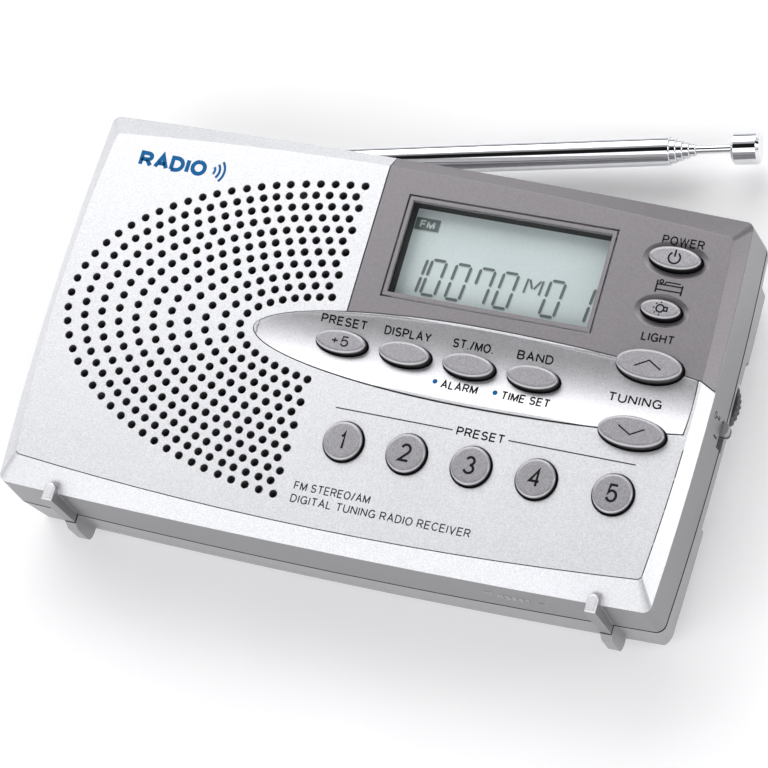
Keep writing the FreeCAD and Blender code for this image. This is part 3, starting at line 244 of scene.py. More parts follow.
def plated_metal(name, colour, roughness, streaks=False, edge=0.08):
    """Plated or polished metal with faint wipe marks and roughness that varies a little."""
    n = Nodes(name)
    marks = n.noise(1.8, 4.0, 0.6)
    fine = n.noise(0.12, 2.0)
    if streaks:
        stretch = n.add("ShaderNodeMapping")
        stretch.inputs["Scale"].default_value = (0.08, 1.0, 1.0)
        n.link(n.place, stretch.inputs["Vector"])
        fine = n.noise(0.12, 2.0, 0.55, stretch.outputs["Vector"])
    surface = n.ramp(marks, [(0.3, tuple(c * 0.93 for c in colour)), (0.75, colour)])
    rough = n.math("ADD", n.span(marks, roughness * 0.7, roughness * 1.3), n.span(fine, 0.0, 0.03))
    normal = n.bump(fine, 0.001, 0.3, n.soft_edges(edge))
    return n.set(Base_Color=surface, Metallic=1.0, Roughness=rough, Normal=normal)


def clear_window():
    """A clear flat window with a non-glare coat: see-through, with a reflection that grows at a slant."""
    n = Nodes("clear_window")
    smudge = n.noise(6.0, 3.0)
    glossy = n.add("ShaderNodeBsdfGlossy")
    n.link(n.span(smudge, 0.02, 0.06), glossy.inputs["Roughness"])
    clear = n.add("ShaderNodeBsdfTransparent")
    clear.inputs["Color"].default_value = (0.97, 0.985, 0.98, 1.0)
    fresnel = n.add("ShaderNodeFresnel")
    fresnel.inputs["IOR"].default_value = 1.2
    inner_side = n.add("ShaderNodeNewGeometry").outputs["Backfacing"]
    share = n.math("MULTIPLY", fresnel.outputs["Fac"], n.span(inner_side, 1.0, 0.0))
    join = n.add("ShaderNodeMixShader")
    n.link(share, join.inputs[0])
    n.link(clear.outputs["BSDF"], join.inputs[1])
    n.link(glossy.outputs["BSDF"], join.inputs[2])
    n.link(join.outputs["Shader"], n.output.inputs["Surface"])
    return n.material


def lcd_cell():
    """A liquid crystal cell: pale grey with faint mottling, a satin front, and a faint glow that is painted
    light.
    """
    n = Nodes("lcd_cell")
    mottle = n.noise(0.22, 2.0)
    broad = n.noise(12.0, 2.0)
    tint = n.ramp(broad, [(0.3, (0.67, 0.72, 0.735)), (0.7, (0.72, 0.77, 0.785))])
    surface = n.mix(n.span(mottle, 0.0, 0.12), tint, (0.56, 0.60, 0.61))
    # The emission is painted light: a faint glow that brightens the cell.
    return n.set(Base_Color=surface, Roughness=n.span(mottle, 0.22, 0.32), Normal=n.bump(mottle, 0.004, 0.4),
                 Emission_Color=(0.80, 0.88, 0.90), Emission_Strength=0.02)


def lcd_segment(name, colour):
    """A dark liquid crystal segment, a little uneven as the cell behind it is."""
    n = Nodes(name)
    grid = n.noise(0.18, 2.0)
    surface = n.ramp(grid, [(0.35, colour), (0.75, tuple(c * 1.25 for c in colour))])
    return n.set(Base_Color=surface, Roughness=0.3, Normal=n.bump(grid, 0.003, 0.3))


def printed_ink(name, colour, roughness=0.5):
    """Screen-printed ink: a faintly uneven film."""
    n = Nodes(name)
    film = n.noise(0.3, 3.0)
    surface = n.ramp(film, [(0.3, colour), (0.8, tuple(min(1.0, c * 1.3 + 0.003) for c in colour))])
    return n.set(Base_Color=surface, Roughness=n.span(film, roughness - 0.1, roughness + 0.1),
                 Specular_IOR_Level=0.2, Normal=n.bump(film, 0.004, 0.5))


def solder_mask():
    """Green solder mask over copper tracks."""
    n = Nodes("solder_mask")
    weave = n.noise(0.5, 2.0)
    tracks = n.add("ShaderNodeTexBrick")
    tracks.inputs["Scale"].default_value = 420.0
    tracks.inputs["Mortar Size"].default_value = 0.03
    n.link(n.place, tracks.inputs["Vector"])
    surface = n.mix(n.span(tracks.outputs["Fac"], 0.0, 0.4), (0.015, 0.12, 0.045), (0.05, 0.26, 0.11))
    surface = n.mix(n.span(weave, 0.0, 0.3), surface, (0.02, 0.09, 0.04))
    normal = n.bump(tracks.outputs["Fac"], 0.03)
    return n.set(Base_Color=surface, Roughness=n.span(weave, 0.25, 0.4), Normal=normal)


def woven_cloth():
    """Black cloth of crossing threads."""
    n = Nodes("speaker_cloth")
    weave = n.add("ShaderNodeTexWave", wave_type="BANDS", bands_direction="X")
    weave.inputs["Scale"].default_value = 900.0
    cross = n.add("ShaderNodeTexWave", wave_type="BANDS", bands_direction="Y")
    cross.inputs["Scale"].default_value = 900.0
    for node in (weave, cross):
        n.link(n.place, node.inputs["Vector"])
    threads = n.math("MAXIMUM", weave.outputs["Fac"], cross.outputs["Fac"])
    surface = n.ramp(threads, [(0.2, (0.002, 0.002, 0.002)), (0.9, (0.012, 0.012, 0.013))])
    return n.set(Base_Color=surface, Roughness=0.9, Specular_IOR_Level=0.1, Normal=n.bump(threads, 0.08))


def pressed_paper():
    """Dark pressed paper with short fibres."""
    n = Nodes("cone_paper")
    fibres = n.noise(0.6, 6.0, 0.7)
    surface = n.ramp(fibres, [(0.3, (0.014, 0.014, 0.015)), (0.8, (0.045, 0.044, 0.042))])
    return n.set(Base_Color=surface, Roughness=0.85, Normal=n.bump(fibres, 0.06))


def cell_jacket():
    """A dark jacket with a copper-coloured band at the cells' right ends, and scuffs."""
    n = Nodes("cell_jacket")
    dark = (0.05, 0.06, 0.08)
    x_part = n.add("ShaderNodeSeparateXYZ")
    n.link(n.place, x_part.inputs["Vector"])
    band = n.ramp(n.span(x_part.outputs["X"], 0.0, 1.0, -0.040, 0.005),
                  [(0.0, dark), (0.72, dark), (0.74, (0.55, 0.34, 0.12)), (1.0, (0.6, 0.4, 0.16))])
    scuffs = n.noise(0.9, 5.0, 0.7)
    surface = n.mix(n.span(scuffs, 0.0, 0.2), band, (0.4, 0.4, 0.4))
    rough = n.span(scuffs, 0.2, 0.4)
    return n.set(Base_Color=surface, Metallic=0.6, Roughness=rough, Normal=n.bump(scuffs, 0.006))


def copper_winding():
    """Close turns of enamelled copper wire."""
    n = Nodes("copper_winding")
    turns = n.add("ShaderNodeTexWave", wave_type="BANDS", bands_direction="X")
    turns.inputs["Scale"].default_value = 620.0
    n.link(n.place, turns.inputs["Vector"])
    surface = n.ramp(turns.outputs["Fac"], [(0.1, (0.25, 0.07, 0.02)), (0.8, (0.75, 0.30, 0.12))])
    return n.set(Base_Color=surface, Metallic=0.9, Roughness=0.3, Normal=n.bump(turns.outputs["Fac"], 0.15))


MATERIALS = {
    # The silver's side colour is painted shade on its upright sides.
    "silver_plastic": metallic_paint(
        "silver_paint", (0.76, 0.765, 0.785), (0.95, 0.95, 0.96), 0.7, 0.40, contrast=0.2,
        painted_side_shade=(0.29, 0.286, 0.296), seam=True),
    # The seam switch paints a shadow in the groove between the shells.
    "grey_plastic": metallic_paint(
        "rear_paint", (0.36, 0.353, 0.365), (0.6, 0.6, 0.61), 0.4, 0.45, contrast=0.08, seam=True),
    "panel_grey": metallic_paint("panel_paint", (0.245, 0.232, 0.245), (0.5, 0.49, 0.5), 0.75, 0.38),
    # The button's side colour is painted shade on its upright sides, and its rim colour a painted highlight
    # on its shoulders.
    "button_grey": metallic_paint(
        "button_paint", (0.36, 0.35, 0.37), (0.70, 0.69, 0.71), 0.7, 0.33, contrast=0.32, edge=0.3,
        painted_side_shade=(0.03, 0.029, 0.031), painted_rim_highlight=(0.54, 0.53, 0.55)),
    "clear_plastic": clear_window(),
    "lcd_glass": lcd_cell(),
    "white_plastic": moulded_plastic("white_plastic", (0.72, 0.72, 0.70), 0.5),
    "clear_guide": moulded_plastic("milky_guide", (0.70, 0.76, 0.72), 0.35),
    "conductive_rubber": moulded_plastic("conductive_rubber", (0.02, 0.02, 0.022), 0.75),
    "board_green": solder_mask(),
    "black_plastic": moulded_plastic("black_plastic", (0.012, 0.012, 0.014), 0.5),
    "tinned_steel": plated_metal("tinned_steel", (0.62, 0.61, 0.58), 0.38),
    "bright_steel": plated_metal("bright_steel", (0.68, 0.68, 0.70), 0.22),
    "chrome": plated_metal("chrome", (0.86, 0.87, 0.89), 0.035, streaks=True, edge=0.05),
    "cone_paper": pressed_paper(),
    "black_cloth": woven_cloth(),
    "ferrite": moulded_plastic("ferrite", (0.03, 0.03, 0.033), 0.65, 0.4, 0.05),
    "cell_jacket": cell_jacket(),
    "copper_wire": copper_winding(),
    "wheel_grey": moulded_plastic("wheel_plastic", (0.045, 0.045, 0.048), 0.5),
}
# The leaf's side colour is painted shade on its upright sides.
LEAF_PAINT = metallic_paint(
    "leaf_paint", (0.64, 0.64, 0.66), (0.9, 0.9, 0.92), 0.85, 0.38, contrast=0.2, painted_side_shade=(0.10, 0.10, 0.105))
INK_BLACK = printed_ink("ink_black", (0.007, 0.007, 0.008), 0.7)
INK_BLUE = printed_ink("ink_blue", (0.002, 0.11, 0.30), 0.7)
INK_GREY = printed_ink("ink_grey", (0.03, 0.03, 0.032), 0.7)
SEGMENT_DARK = lcd_segment("lcd_segment_dark", (0.12, 0.14, 0.14))
SEGMENT_SHADOW = lcd_segment("lcd_segment_shadow", (0.47, 0.51, 0.52))
BADGE_LIGHT = lcd_segment("lcd_badge_letters", (0.66, 0.71, 0.72))
# A black used as painted shade, for the lining on the window's recess walls.
SHADE_BLACK = moulded_plastic("mark_shadow", (0.01, 0.01, 0.01), 0.8)


def dress(obj, material):
    """Gives the object this one material."""
    obj.data.materials.clear()
    obj.data.materials.append(material)


for node_name, node_object in frame["nodes"].items():
    dress(node_object, MATERIALS[SLOT_OF[node_name]])
dress(frame["nodes"]["control_panel"], LEAF_PAINT)


# ---------------------------------------------------------------- flat drawing: outlines in a plane, in mm
def ribbon(points, width, closed=False):
    """A line of even width along the points, mitred at its corners, as (vertices, faces)."""
    path = [Vector(p).to_2d() for p in points]
    count = len(path)
    half = width / 2
    vertices = []
    for i, point in enumerate(path):
        before = path[i - 1] if closed or i > 0 else None
        after = path[(i + 1) % count] if closed or i < count - 1 else None
        ins = (point - before).normalized() if before is not None else None
        outs = (after - point).normalized() if after is not None else None
        first = ins or outs
        second = outs or ins
        normal = Vector((-first.y - second.y, first.x + second.x)).normalized()
        reach = half / max(0.35, normal.dot(Vector((-first.y, first.x))))
        vertices += [point + normal * reach, point - normal * reach]
    faces = []
    for i in range(count if closed else count - 1):
        a = 2 * i
        b = 2 * ((i + 1) % count)
        faces.append((a, a + 1, b + 1, b))
    return vertices, faces


def polygon(points):
    """One flat face through the points, as (vertices, faces)."""
    return [Vector(p).to_2d() for p in points], [tuple(range(len(points)))]


def bow(x, y, across, high, start_deg, end_deg, steps=12):
    """Points along part of an ellipse round (x, y)."""
    sweep = end_deg - start_deg
    turns = [math.radians(start_deg + sweep * i / steps) for i in range(steps + 1)]
    return [(x + across * math.cos(t), y + high * math.sin(t)) for t in turns]


def arc(centre, radius, start_deg, end_deg, steps=28):
    return bow(*centre, radius, radius, start_deg, end_deg, steps)


def ring(centre, radius, width, steps=32):
    return ribbon(arc(centre, radius, 0, 360, steps)[:-1], width, closed=True)


def spot(centre, radius, steps=24):
    return polygon(arc(centre, radius, 0, 360, steps)[:-1])


def moved(shape, dx, dy):
    vertices, faces = shape
    return [v + Vector((dx, dy)) for v in vertices], faces


def slanted(shape, degrees):
    lean = math.tan(math.radians(degrees))
    vertices, faces = shape
    return [Vector((v.x + lean * v.y, v.y)) for v in vertices], faces


def merged(shapes):
    vertices = []
    faces = []
    for shape_vertices, shape_faces in shapes:
        start = len(vertices)
        vertices += shape_vertices
        faces += [tuple(i + start for i in face) for face in shape_faces]
    return vertices, faces


def subdivided(shape, longest=0.45):
    """The same outline cut into triangles with short edges, so that it can follow a curved surface."""
    vertices, faces = shape
    sheet = bmesh.new()
    made = [sheet.verts.new((v.x, v.y, 0)) for v in vertices]
    for face in faces:
        sheet.faces.new([made[i] for i in face])
    bmesh.ops.triangulate(sheet, faces=sheet.faces[:])
    for _ in range(6):
        long_edges = [edge for edge in sheet.edges if edge.calc_length() > longest]
        if not long_edges:
            break
        bmesh.ops.subdivide_edges(sheet, edges=long_edges, cuts=1)
        bmesh.ops.triangulate(sheet, faces=sheet.faces[:])
    sheet.verts.index_update()
    points = [v.co.to_2d() for v in sheet.verts]
    corners = [tuple(v.index for v in face.verts) for face in sheet.faces]
    sheet.free()
    unique = {frozenset(triangle): triangle for triangle in corners}
    return points, list(unique.values())


# Each letter is a set of pen strokes, 10 high, with the letter's width in front.
LETTERS = {
    "A": (7.2, [[(0, 0), (3.6, 10), (7.2, 0)], [(1.25, 3.4), (5.95, 3.4)]]),
    "B": (6.4, [[(0, 0), (0, 10)] + bow(3.4, 7.6, 2.6, 2.4, 90, -90) + [(0, 5.2)],
                [(0.1, 5.2)] + bow(3.6, 2.6, 2.8, 2.6, 90, -90) + [(0, 0)]]),
    "C": (7.2, [bow(3.9, 5, 3.9, 5, 40, 320, 20)]),
    "D": (6.8, [[(0, 0), (0, 10)] + bow(2.6, 5, 4.2, 5, 90, -90, 16) + [(0, 0)]]),
    "E": (6.0, [[(6, 10), (0, 10), (0, 0), (6, 0)], [(0, 5.2), (5.5, 5.2)]]),
    "F": (5.6, [[(5.6, 10), (0, 10), (0, 0)], [(0, 5.1), (5.0, 5.1)]]),
    "G": (7.6, [bow(3.9, 5, 3.9, 5, 40, 335, 20) + [(7.5, 4.7), (4.4, 4.7)], [(7.5, 4.7), (7.5, 0)]]),
    "H": (6.8, [[(0, 0), (0, 10)], [(6.8, 0), (6.8, 10)], [(0, 5.2), (6.8, 5.2)]]),
    "I": (0.2, [[(0.1, 0), (0.1, 10)]]),
    "L": (5.2, [[(0, 10), (0, 0), (5.2, 0)]]),
    "M": (8.0, [[(0, 0), (0, 10)], [(0.3, 9.4), (4, 0.8), (7.7, 9.4)], [(8, 10), (8, 0)]]),
    "N": (6.8, [[(0, 0), (0, 10)], [(0.2, 9.6), (6.6, 0.4)], [(6.8, 10), (6.8, 0)]]),
    "O": (7.8, [bow(3.9, 5, 3.9, 5, 90, 450, 26)]),
    "P": (6.2, [[(0, 0), (0, 10)] + bow(3.3, 7.3, 2.9, 2.7, 90, -90) + [(0, 4.6)]]),
    "R": (6.6, [[(0, 0), (0, 10)] + bow(3.5, 7.4, 2.8, 2.6, 90, -90) + [(0, 4.8)], [(3.7, 4.8), (6.5, 0)]]),
    "S": (6.4, [bow(3.2, 7.45, 2.8, 2.55, 25, 255) + bow(3.2, 2.6, 3.1, 2.6, 75, -160)]),
    "T": (6.6, [[(0, 10), (6.6, 10)], [(3.3, 9.6), (3.3, 0)]]),
    "U": (6.8, [[(0, 10), (0, 3.4)] + bow(3.4, 3.4, 3.4, 3.4, 190, 350) + [(6.8, 3.4), (6.8, 10)]]),
    "V": (7.0, [[(0, 10), (3.5, 0), (7, 10)]]),
    "W": (10.0, [[(0, 10), (2.5, 0), (5, 9.6), (7.5, 0), (10, 10)]]),
    "Y": (7.0, [[(0, 10), (3.5, 4.4), (7, 10)], [(3.5, 4.6), (3.5, 0)]]),
    "1": (2.6, [[(0, 7.5), (1.9, 8.3), (2.6, 10), (2.6, 0)]]),
    "2": (6.2, [bow(3.1, 7.1, 2.9, 2.9, 165, -40) + [(0, 0), (6.2, 0)]]),
    "3": (6.2, [bow(3.0, 7.55, 2.6, 2.45, 160, -85), bow(3.0, 2.6, 3.1, 2.6, 88, -165)]),
    "4": (6.4, [[(4.7, 0), (4.7, 10), (0, 3.0), (6.4, 3.0)]]),
    "5": (6.2, [[(5.8, 10), (1.3, 10), (0.6, 4.9)] + bow(3.1, 3.2, 3.1, 3.3, 135, -160)]),
    ".": (0.4, [[(0.2, -0.5), (0.2, 0.9)]]),
    "/": (3.2, [[(0, -0.5), (3.2, 10.5)]]),
    "+": (5.4, [[(0, 4.6), (5.4, 4.6)], [(2.7, 1.9), (2.7, 7.3)]]),
    " ": (1.2, []),
}
LETTER_HIGH = 10
LETTER_GAP = 3.2


def lettering(text, height, width, stroke):
    """Plain printed capitals, centred on the origin and as high and wide as given, with an even stroke."""
    place = 0.0
    lines = []
    for character in text:
        wide, strokes = LETTERS[character]
        lines += [[(x + place, y) for x, y in line] for line in strokes]
        place += wide + LETTER_GAP
    reach = place - LETTER_GAP
    across = (width - stroke) / reach
    up = (height - stroke) / LETTER_HIGH
    shapes = []
    for line in lines:
        fitted = [((x - reach / 2) * across, (y - LETTER_HIGH / 2) * up) for x, y in line]
        shapes.append(ribbon(fitted, stroke))
    return merged(shapes)


# ---------------------------------------------------------------- laying drawings onto surfaces
class Surface:
    """A CAD node's surface, seen along one direction, that drawings are laid on. Positions are in mm."""

    trees = {}

    def __init__(self, node, normal=(0, 0, 1), across=(1, 0, 0), start=40.0):
        self.node = node
        self.normal = Vector(normal)
        self.across = Vector(across)
        self.up = self.normal.cross(self.across)
        self.start = start
        if node not in Surface.trees:
            mesh = frame["nodes"][node].data
            points = [v.co / MM for v in mesh.vertices]
            Surface.trees[node] = BVHTree.FromPolygons(points, [tuple(p.vertices) for p in mesh.polygons])
        self.tree = Surface.trees[node]

    def drop(self, u, v):
        """The point in mm where a line along the normal through (u, v) first meets the surface."""
        origin = self.across * u + self.up * v + self.normal * self.start
        hit = self.tree.ray_cast(origin, -self.normal)[0]
        if hit is None:
            raise RuntimeError(f"nothing of {self.node} under {u:.2f}, {v:.2f}")
        return hit


def lay(name, shape, surface, material, thickness=INK_THICKNESS, sink=INK_SINK, fixed=None):
    """Makes a drawing into a thin solid film that follows the surface, or keeps the height fixed, in mm."""
    vertices, faces = shape if fixed is not None else subdivided(shape)
    mesh = bpy.data.meshes.new(name)
    film = bmesh.new()
    lower = []
    upper = []
    for point in vertices:
        if fixed is None:
            base = surface.drop(point.x, point.y)
        else:
            base = surface.across * point.x + surface.up * point.y + surface.normal * fixed
        lower.append(film.verts.new(base * MM - surface.normal * sink))
        upper.append(film.verts.new(base * MM + surface.normal * thickness))
    directed = {}
    for face in faces:
        area = sum(vertices[face[i - 1]].cross(vertices[face[i]]) for i in range(len(face)))
        order = face if area > 0 else tuple(reversed(face))
        film.faces.new([upper[i] for i in order])
        film.faces.new([lower[i] for i in reversed(order)])
        for i, start in enumerate(order):
            directed[(start, order[(i + 1) % len(order)])] = True
    for start, end in directed:
        if (end, start) not in directed:
            film.faces.new([upper[end], upper[start], lower[start], lower[end]])
    film.to_mesh(mesh)
    film.free()
    piece = bpy.data.objects.new(name, mesh)
    bpy.context.scene.collection.objects.link(piece)
    dress(piece, material)
    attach(piece, BODY_OF[surface.node])


FACE = Surface("front_shell")
LEAF = Surface("control_panel")
PANEL = Surface("display_panel")
LCD = Surface("lcd_panel")
RIGHT_SIDE = Surface("front_shell", normal=(1, 0, 0), across=(0, 1, 0), start=80.0)
BOTTOM_SIDE = Surface("front_shell", normal=(0, -1, 0), across=(1, 0, 0), start=80.0)

# Printing, in mm
LABEL_HEIGHT = 1.5
LABEL_STROKE = 0.26
LINE_WIDTH = 0.2
DOT_RADIUS = 0.42

# The painted shadow line in the crease round the face, in mm: its width, its gap to the leaf,
# the most that a side of the face bows out, and the most that the leaf's end is above
# the lower tuning button's middle
CREASE_WIDTH = 0.15
CREASE_START = 0.4
FACE_BOW = 3.0
LEAF_END_RISE = 2.0

# The words over the oval buttons, with how far each is off the button's middle and how wide it is, in mm
OVAL_LABELS = (("PRESET", -0.6, 7.9), ("DISPLAY", -0.6, 8.0), ("ST./MO.", -0.35, 6.9), ("BAND", -0.7, 6.1))
OVAL_LABEL_RISE = 3.6

# The second functions: piece name, word, its button, its shift and its width
SECOND_FUNCTIONS = (("alarm", "ALARM", "stereo_mono_button", -0.7, 6.2),
                    ("time_set", "TIME SET", "band_button", -0.4, 8.2))
SECOND_FUNCTION_DROP = 3.5

# The small print: piece name, words, width, and how far it is below the preset buttons' middles
SMALL_PRINT_DROP = 10.6
SMALL_PRINT = (("print_bands", "FM STEREO/AM", 13.0, 8.45),
               ("print_kind", "DIGITAL TUNING RADIO RECEIVER", 30.6, SMALL_PRINT_DROP))


# ---------------------------------------------------------------- printing on the face
def word(name, text, x, y, width, surface, material=INK_BLACK, height=LABEL_HEIGHT, stroke=LABEL_STROKE):
    lay(name, moved(lettering(text, height, width, stroke), x, y), surface, material)


def face_labels():
    """The words beside the power, light, tuning and oval buttons."""
    power = middle("power_button")
    light = middle("light_button")
    word("label_power", "POWER", power.x + 0.4, power.y + 3.15, 7.0, PANEL)
    word("label_light", "LIGHT", light.x + 0.6, light.y - 4.5, 5.4, PANEL)
    tuning = (middle("tuning_up_button") + middle("tuning_down_button")) / 2
    word("label_tuning", "TUNING", tuning.x - 1.2, tuning.y, 8.9, LEAF, height=1.55)
    for node, (text, shift, width) in zip(OVAL_BUTTONS, OVAL_LABELS):
        button = middle(node)
        name = "label_" + node.replace("_button", "")
        word(name, text, button.x + shift, button.y + OVAL_LABEL_RISE, width, LEAF)


def second_functions():
    """The printed second functions below the leaf, each with a blue dot in front."""
    for name, text, node, shift, width in SECOND_FUNCTIONS:
        button = middle(node)
        y = button.y - SECOND_FUNCTION_DROP
        word("label_" + name, text, button.x + shift, y, width, LEAF)
        dot_x = button.x + shift - width / 2 - 1.1
        lay("dot_" + name, spot((dot_x, y + 0.2), DOT_RADIUS), LEAF, INK_BLUE)


def preset_heading():
    """A heading between two fine lines above the preset buttons."""
    first = middle(PRESET_BUTTONS[0])
    last = middle(PRESET_BUTTONS[-1])
    y = first.y + 5.4
    word("label_presets", "PRESET", 22.45, y, 8.1, FACE)
    left_line = ribbon([(first.x - 3.0, y), (17.7, y)], LINE_WIDTH)
    right_line = ribbon([(27.1, y), (last.x + 2.2, y)], LINE_WIDTH)
    lay("preset_lines", merged([left_line, right_line]), FACE, INK_GREY)


def face_print():
    """The small print at the foot of the face and a plain blue word in the upper left corner."""
    x = middle(PRESET_BUTTONS[0]).x - 6.0
    low = middle(PRESET_BUTTONS[0]).y
    for name, text, width, drop in SMALL_PRINT:
        word(name, text, x + width / 2, low - drop, width, FACE, INK_GREY, height=1.4, stroke=0.2)
    speaker_x = middle("speaker_cloth").x
    mark_y = 25.4
    word("mark_word", "RADIO", speaker_x - 11.3, mark_y, 12.2, FACE, INK_BLUE, height=2.8, stroke=0.72)
    waves = [ribbon(arc((speaker_x - 4.6, mark_y), radius, -42, 42, 14), 0.42) for radius in (0.9, 1.75, 2.6)]
    lay("mark_waves", merged(waves), FACE, INK_BLUE)


def face_border():
    """The points in mm where the flat face of the front shell meets its lower and right slopes."""
    mesh = frame["nodes"]["front_shell"].data
    first = middle(PRESET_BUTTONS[0])
    level = FACE.drop(first.x, first.y - SMALL_PRINT_DROP).z
    flat = set()
    sloped = set()
    for face in mesh.polygons:
        corners = [mesh.vertices[i].co / MM for i in face.vertices]
        edge_points = {(round(p.x, 3), round(p.y, 3)) for p in corners if abs(p.z - level) < 0.02}
        if face.normal.z > FLAT_NORMAL:
            flat |= edge_points
        elif face.normal.z > 0.3 and (face.normal.x > 0.2 or face.normal.y < -0.2):
            sloped |= edge_points
    return flat & sloped


def face_crease():
    """A painted shadow line where the flat face meets its lower and right slopes, up to the leaf."""
    border = face_border()
    inner_right = max(x for x, _ in border) - FACE_BOW
    inner_bottom = min(y for _, y in border) + FACE_BOW
    leaf_y = middle("tuning_down_button").y + LEAF_END_RISE
    line = [Vector((x, y)) for x, y in border if y < leaf_y and (x > inner_right or y < inner_bottom)]
    line.sort(key=lambda p: math.atan2(p.y, p.x))
    line[-1] += (line[-2] - line[-1]).normalized() * CREASE_START
    # Painted shadow: a grey line drawn along the crease.
    lay("face_crease", ribbon(line, CREASE_WIDTH), FACE, INK_GREY)


# ---------------------------------------------------------------- printing on the buttons
def print_on_button(name, shape, node):
    button = middle(node)
    lay(name, moved(shape, button.x, button.y), Surface(node), INK_BLACK)


def button_prints():
    """Digits, arrows and symbols in the buttons' dishes."""
    for number, node in enumerate(PRESET_BUTTONS, 1):
        width = 0.9 if number == 1 else 1.95
        print_on_button(f"digit_{number}", lettering(str(number), 3.05, width, 0.42), node)
    print_on_button("print_plus_five", lettering("+5", 1.8, 3.0, LABEL_STROKE), OVAL_BUTTONS[0])
    for direction, rise in (("up", 0.62), ("down", -0.62)):
        chevron = ribbon([(-2.15, -rise), (0, rise), (2.15, -rise)], 0.24)
        print_on_button(f"chevron_{direction}", chevron, f"tuning_{direction}_button")
    symbol = merged([ribbon(arc((0, -0.1), 0.95, 122, 418), 0.3), ribbon([(0, 0.1), (0, 1.3)], 0.3)])
    print_on_button("icon_power", symbol, "power_button")
    print_on_button("icon_lamp", lamp_icon(), "light_button")


def lamp_icon():
    """A small lamp lying on its side, with rays."""
    shapes = [ring((0, 0), 0.62, 0.26)]
    shapes.append(ribbon([(0.55, 0.3), (1.15, 0.3), (1.15, -0.3), (0.55, -0.3)], 0.26))
    for turn in (90, 135, 180, 225, 270):
        across = math.cos(math.radians(turn))
        up = math.sin(math.radians(turn))
        shapes.append(ribbon([(reach * across, reach * up) for reach in (0.9, 1.2)], 0.22))
    return merged(shapes)


def sleep_icon():
    """A small bed in side view, for the sleep timer that shares the light button."""
    shapes = [ribbon([(-2.1, -0.95), (-2.1, 1.15)], 0.28), ribbon([(2.1, -0.95), (2.1, 0.75)], 0.28)]
    shapes += [ribbon([(-2.1, y), (2.1, y)], 0.24) for y in (-0.45, 0.45)]
    shapes.append(ring((-1.45, 0.95), 0.28, 0.24, 16))
    shapes.append(ribbon([(-0.9, 0.45), (-0.7, 0.95), (1.7, 0.95)], 0.22))
    return merged(shapes)


def panel_icon():
    """The bed, printed over the light button."""
    light = middle("light_button")
    lay("icon_sleep", moved(sleep_icon(), light.x + 0.2, light.y + 3.9), PANEL, INK_BLACK)


# ---------------------------------------------------------------- display
# Digits, in mm and degrees
DIGIT_WIDTH = 2.95
DIGIT_HEIGHT = 6.6
STROKE = 0.5
SEGMENT_GAP = 0.12
DIGIT_SLANT = 5.5
SEGMENTS = {"0": "abcdef", "1": "bc", "7": "abcf"}
DIGITS = (("1", 2.45), ("0", 5.75), ("0", 10.0), ("7", 14.15), ("0", 18.15), ("0", 26.15), ("1", 31.2))
SHADOW_SHIFT = (0.16, -0.2)

# The band badge: middle from the display's lower left corner, and half size, in mm
BADGE_MIDDLE = (3.95, 15.3)
BADGE_HALF = (2.1, 1.05)

# The window: painted border, bare edge outside it, and the black lining of painted shade on the recess walls,
# in mm
BORDER = 0.75
LENS_EDGE = 0.1
WALL_SHADE_LINING = 0.04


def bar(start, end, width):
    """One display segment: a bar with pointed ends."""
    a = Vector(start)
    b = Vector(end)
    along = (b - a).normalized()
    side = Vector((-along.y, along.x)) * width / 2
    tip = along * width / 2
    return polygon([a, a + tip + side, b - tip + side, b, b - tip - side, a + tip - side])


def digit(character, left, bottom):
    """A slanted digit of up to six segments, from its lower left corner."""
    w = DIGIT_WIDTH - STROKE
    h = DIGIT_HEIGHT - STROKE
    g = SEGMENT_GAP
    lines = {
        "a": ((g, h), (w - g, h)), "b": ((w, h - g), (w, h / 2 + g)), "c": ((w, h / 2 - g), (w, g)),
        "d": ((g, 0), (w - g, 0)), "e": ((0, g), (0, h / 2 - g)), "f": ((0, h / 2 + g), (0, h - g)),
    }
    shapes = [bar(*lines[key], STROKE) for key in SEGMENTS[character]]
    return moved(slanted(merged(shapes), DIGIT_SLANT), left + STROKE / 2, bottom + STROKE / 2)


def unit_letter(left, bottom):
    """The small M made of four slanted strokes."""
    strokes = [[(0, 0), (0, 2.5)], [(0.35, 2.4), (1.15, 0.9)]]
    strokes += [[(1.45, 0.9), (2.25, 2.4)], [(2.6, 0), (2.6, 2.5)]]
    shapes = [ribbon(stroke, 0.36) for stroke in strokes]
    return moved(slanted(merged(shapes), DIGIT_SLANT), left, bottom)


def display_graphics():
    """The display's figures with their faint shadows, and the band badge with its letters."""
    low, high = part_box("lcd_panel")
    x0 = low.x / MM
    y0 = low.y / MM
    top = high.z / MM
    base = y0 + 3.25
    shapes = [digit(character, x0 + dx, base) for character, dx in DIGITS]
    shapes.append(unit_letter(x0 + 22.9, base + 3.5))
    badge_x = x0 + BADGE_MIDDLE[0]
    badge_y = y0 + BADGE_MIDDLE[1]
    half_x, half_y = BADGE_HALF
    box = polygon([(-half_x, -half_y), (half_x, -half_y), (half_x, half_y), (-half_x, half_y)])
    badge = moved(box, badge_x, badge_y)
    drawing = merged(shapes)
    lay("lcd_shadows", moved(merged([drawing, badge]), *SHADOW_SHIFT), LCD, SEGMENT_SHADOW, fixed=top,
        thickness=THIN_FILM, sink=0)
    lay("lcd_digits", drawing, LCD, SEGMENT_DARK, fixed=top, thickness=SEGMENT_FILM)
    lay("lcd_badge", badge, LCD, SEGMENT_DARK, fixed=top, thickness=SEGMENT_FILM)
    letters = moved(lettering("FM", 1.35, 2.6, 0.3), badge_x, badge_y)
    lay("lcd_badge_letters", letters, LCD, BADGE_LIGHT, fixed=top + SEGMENT_FILM / MM, thickness=BORDER_FILM,
        sink=0)


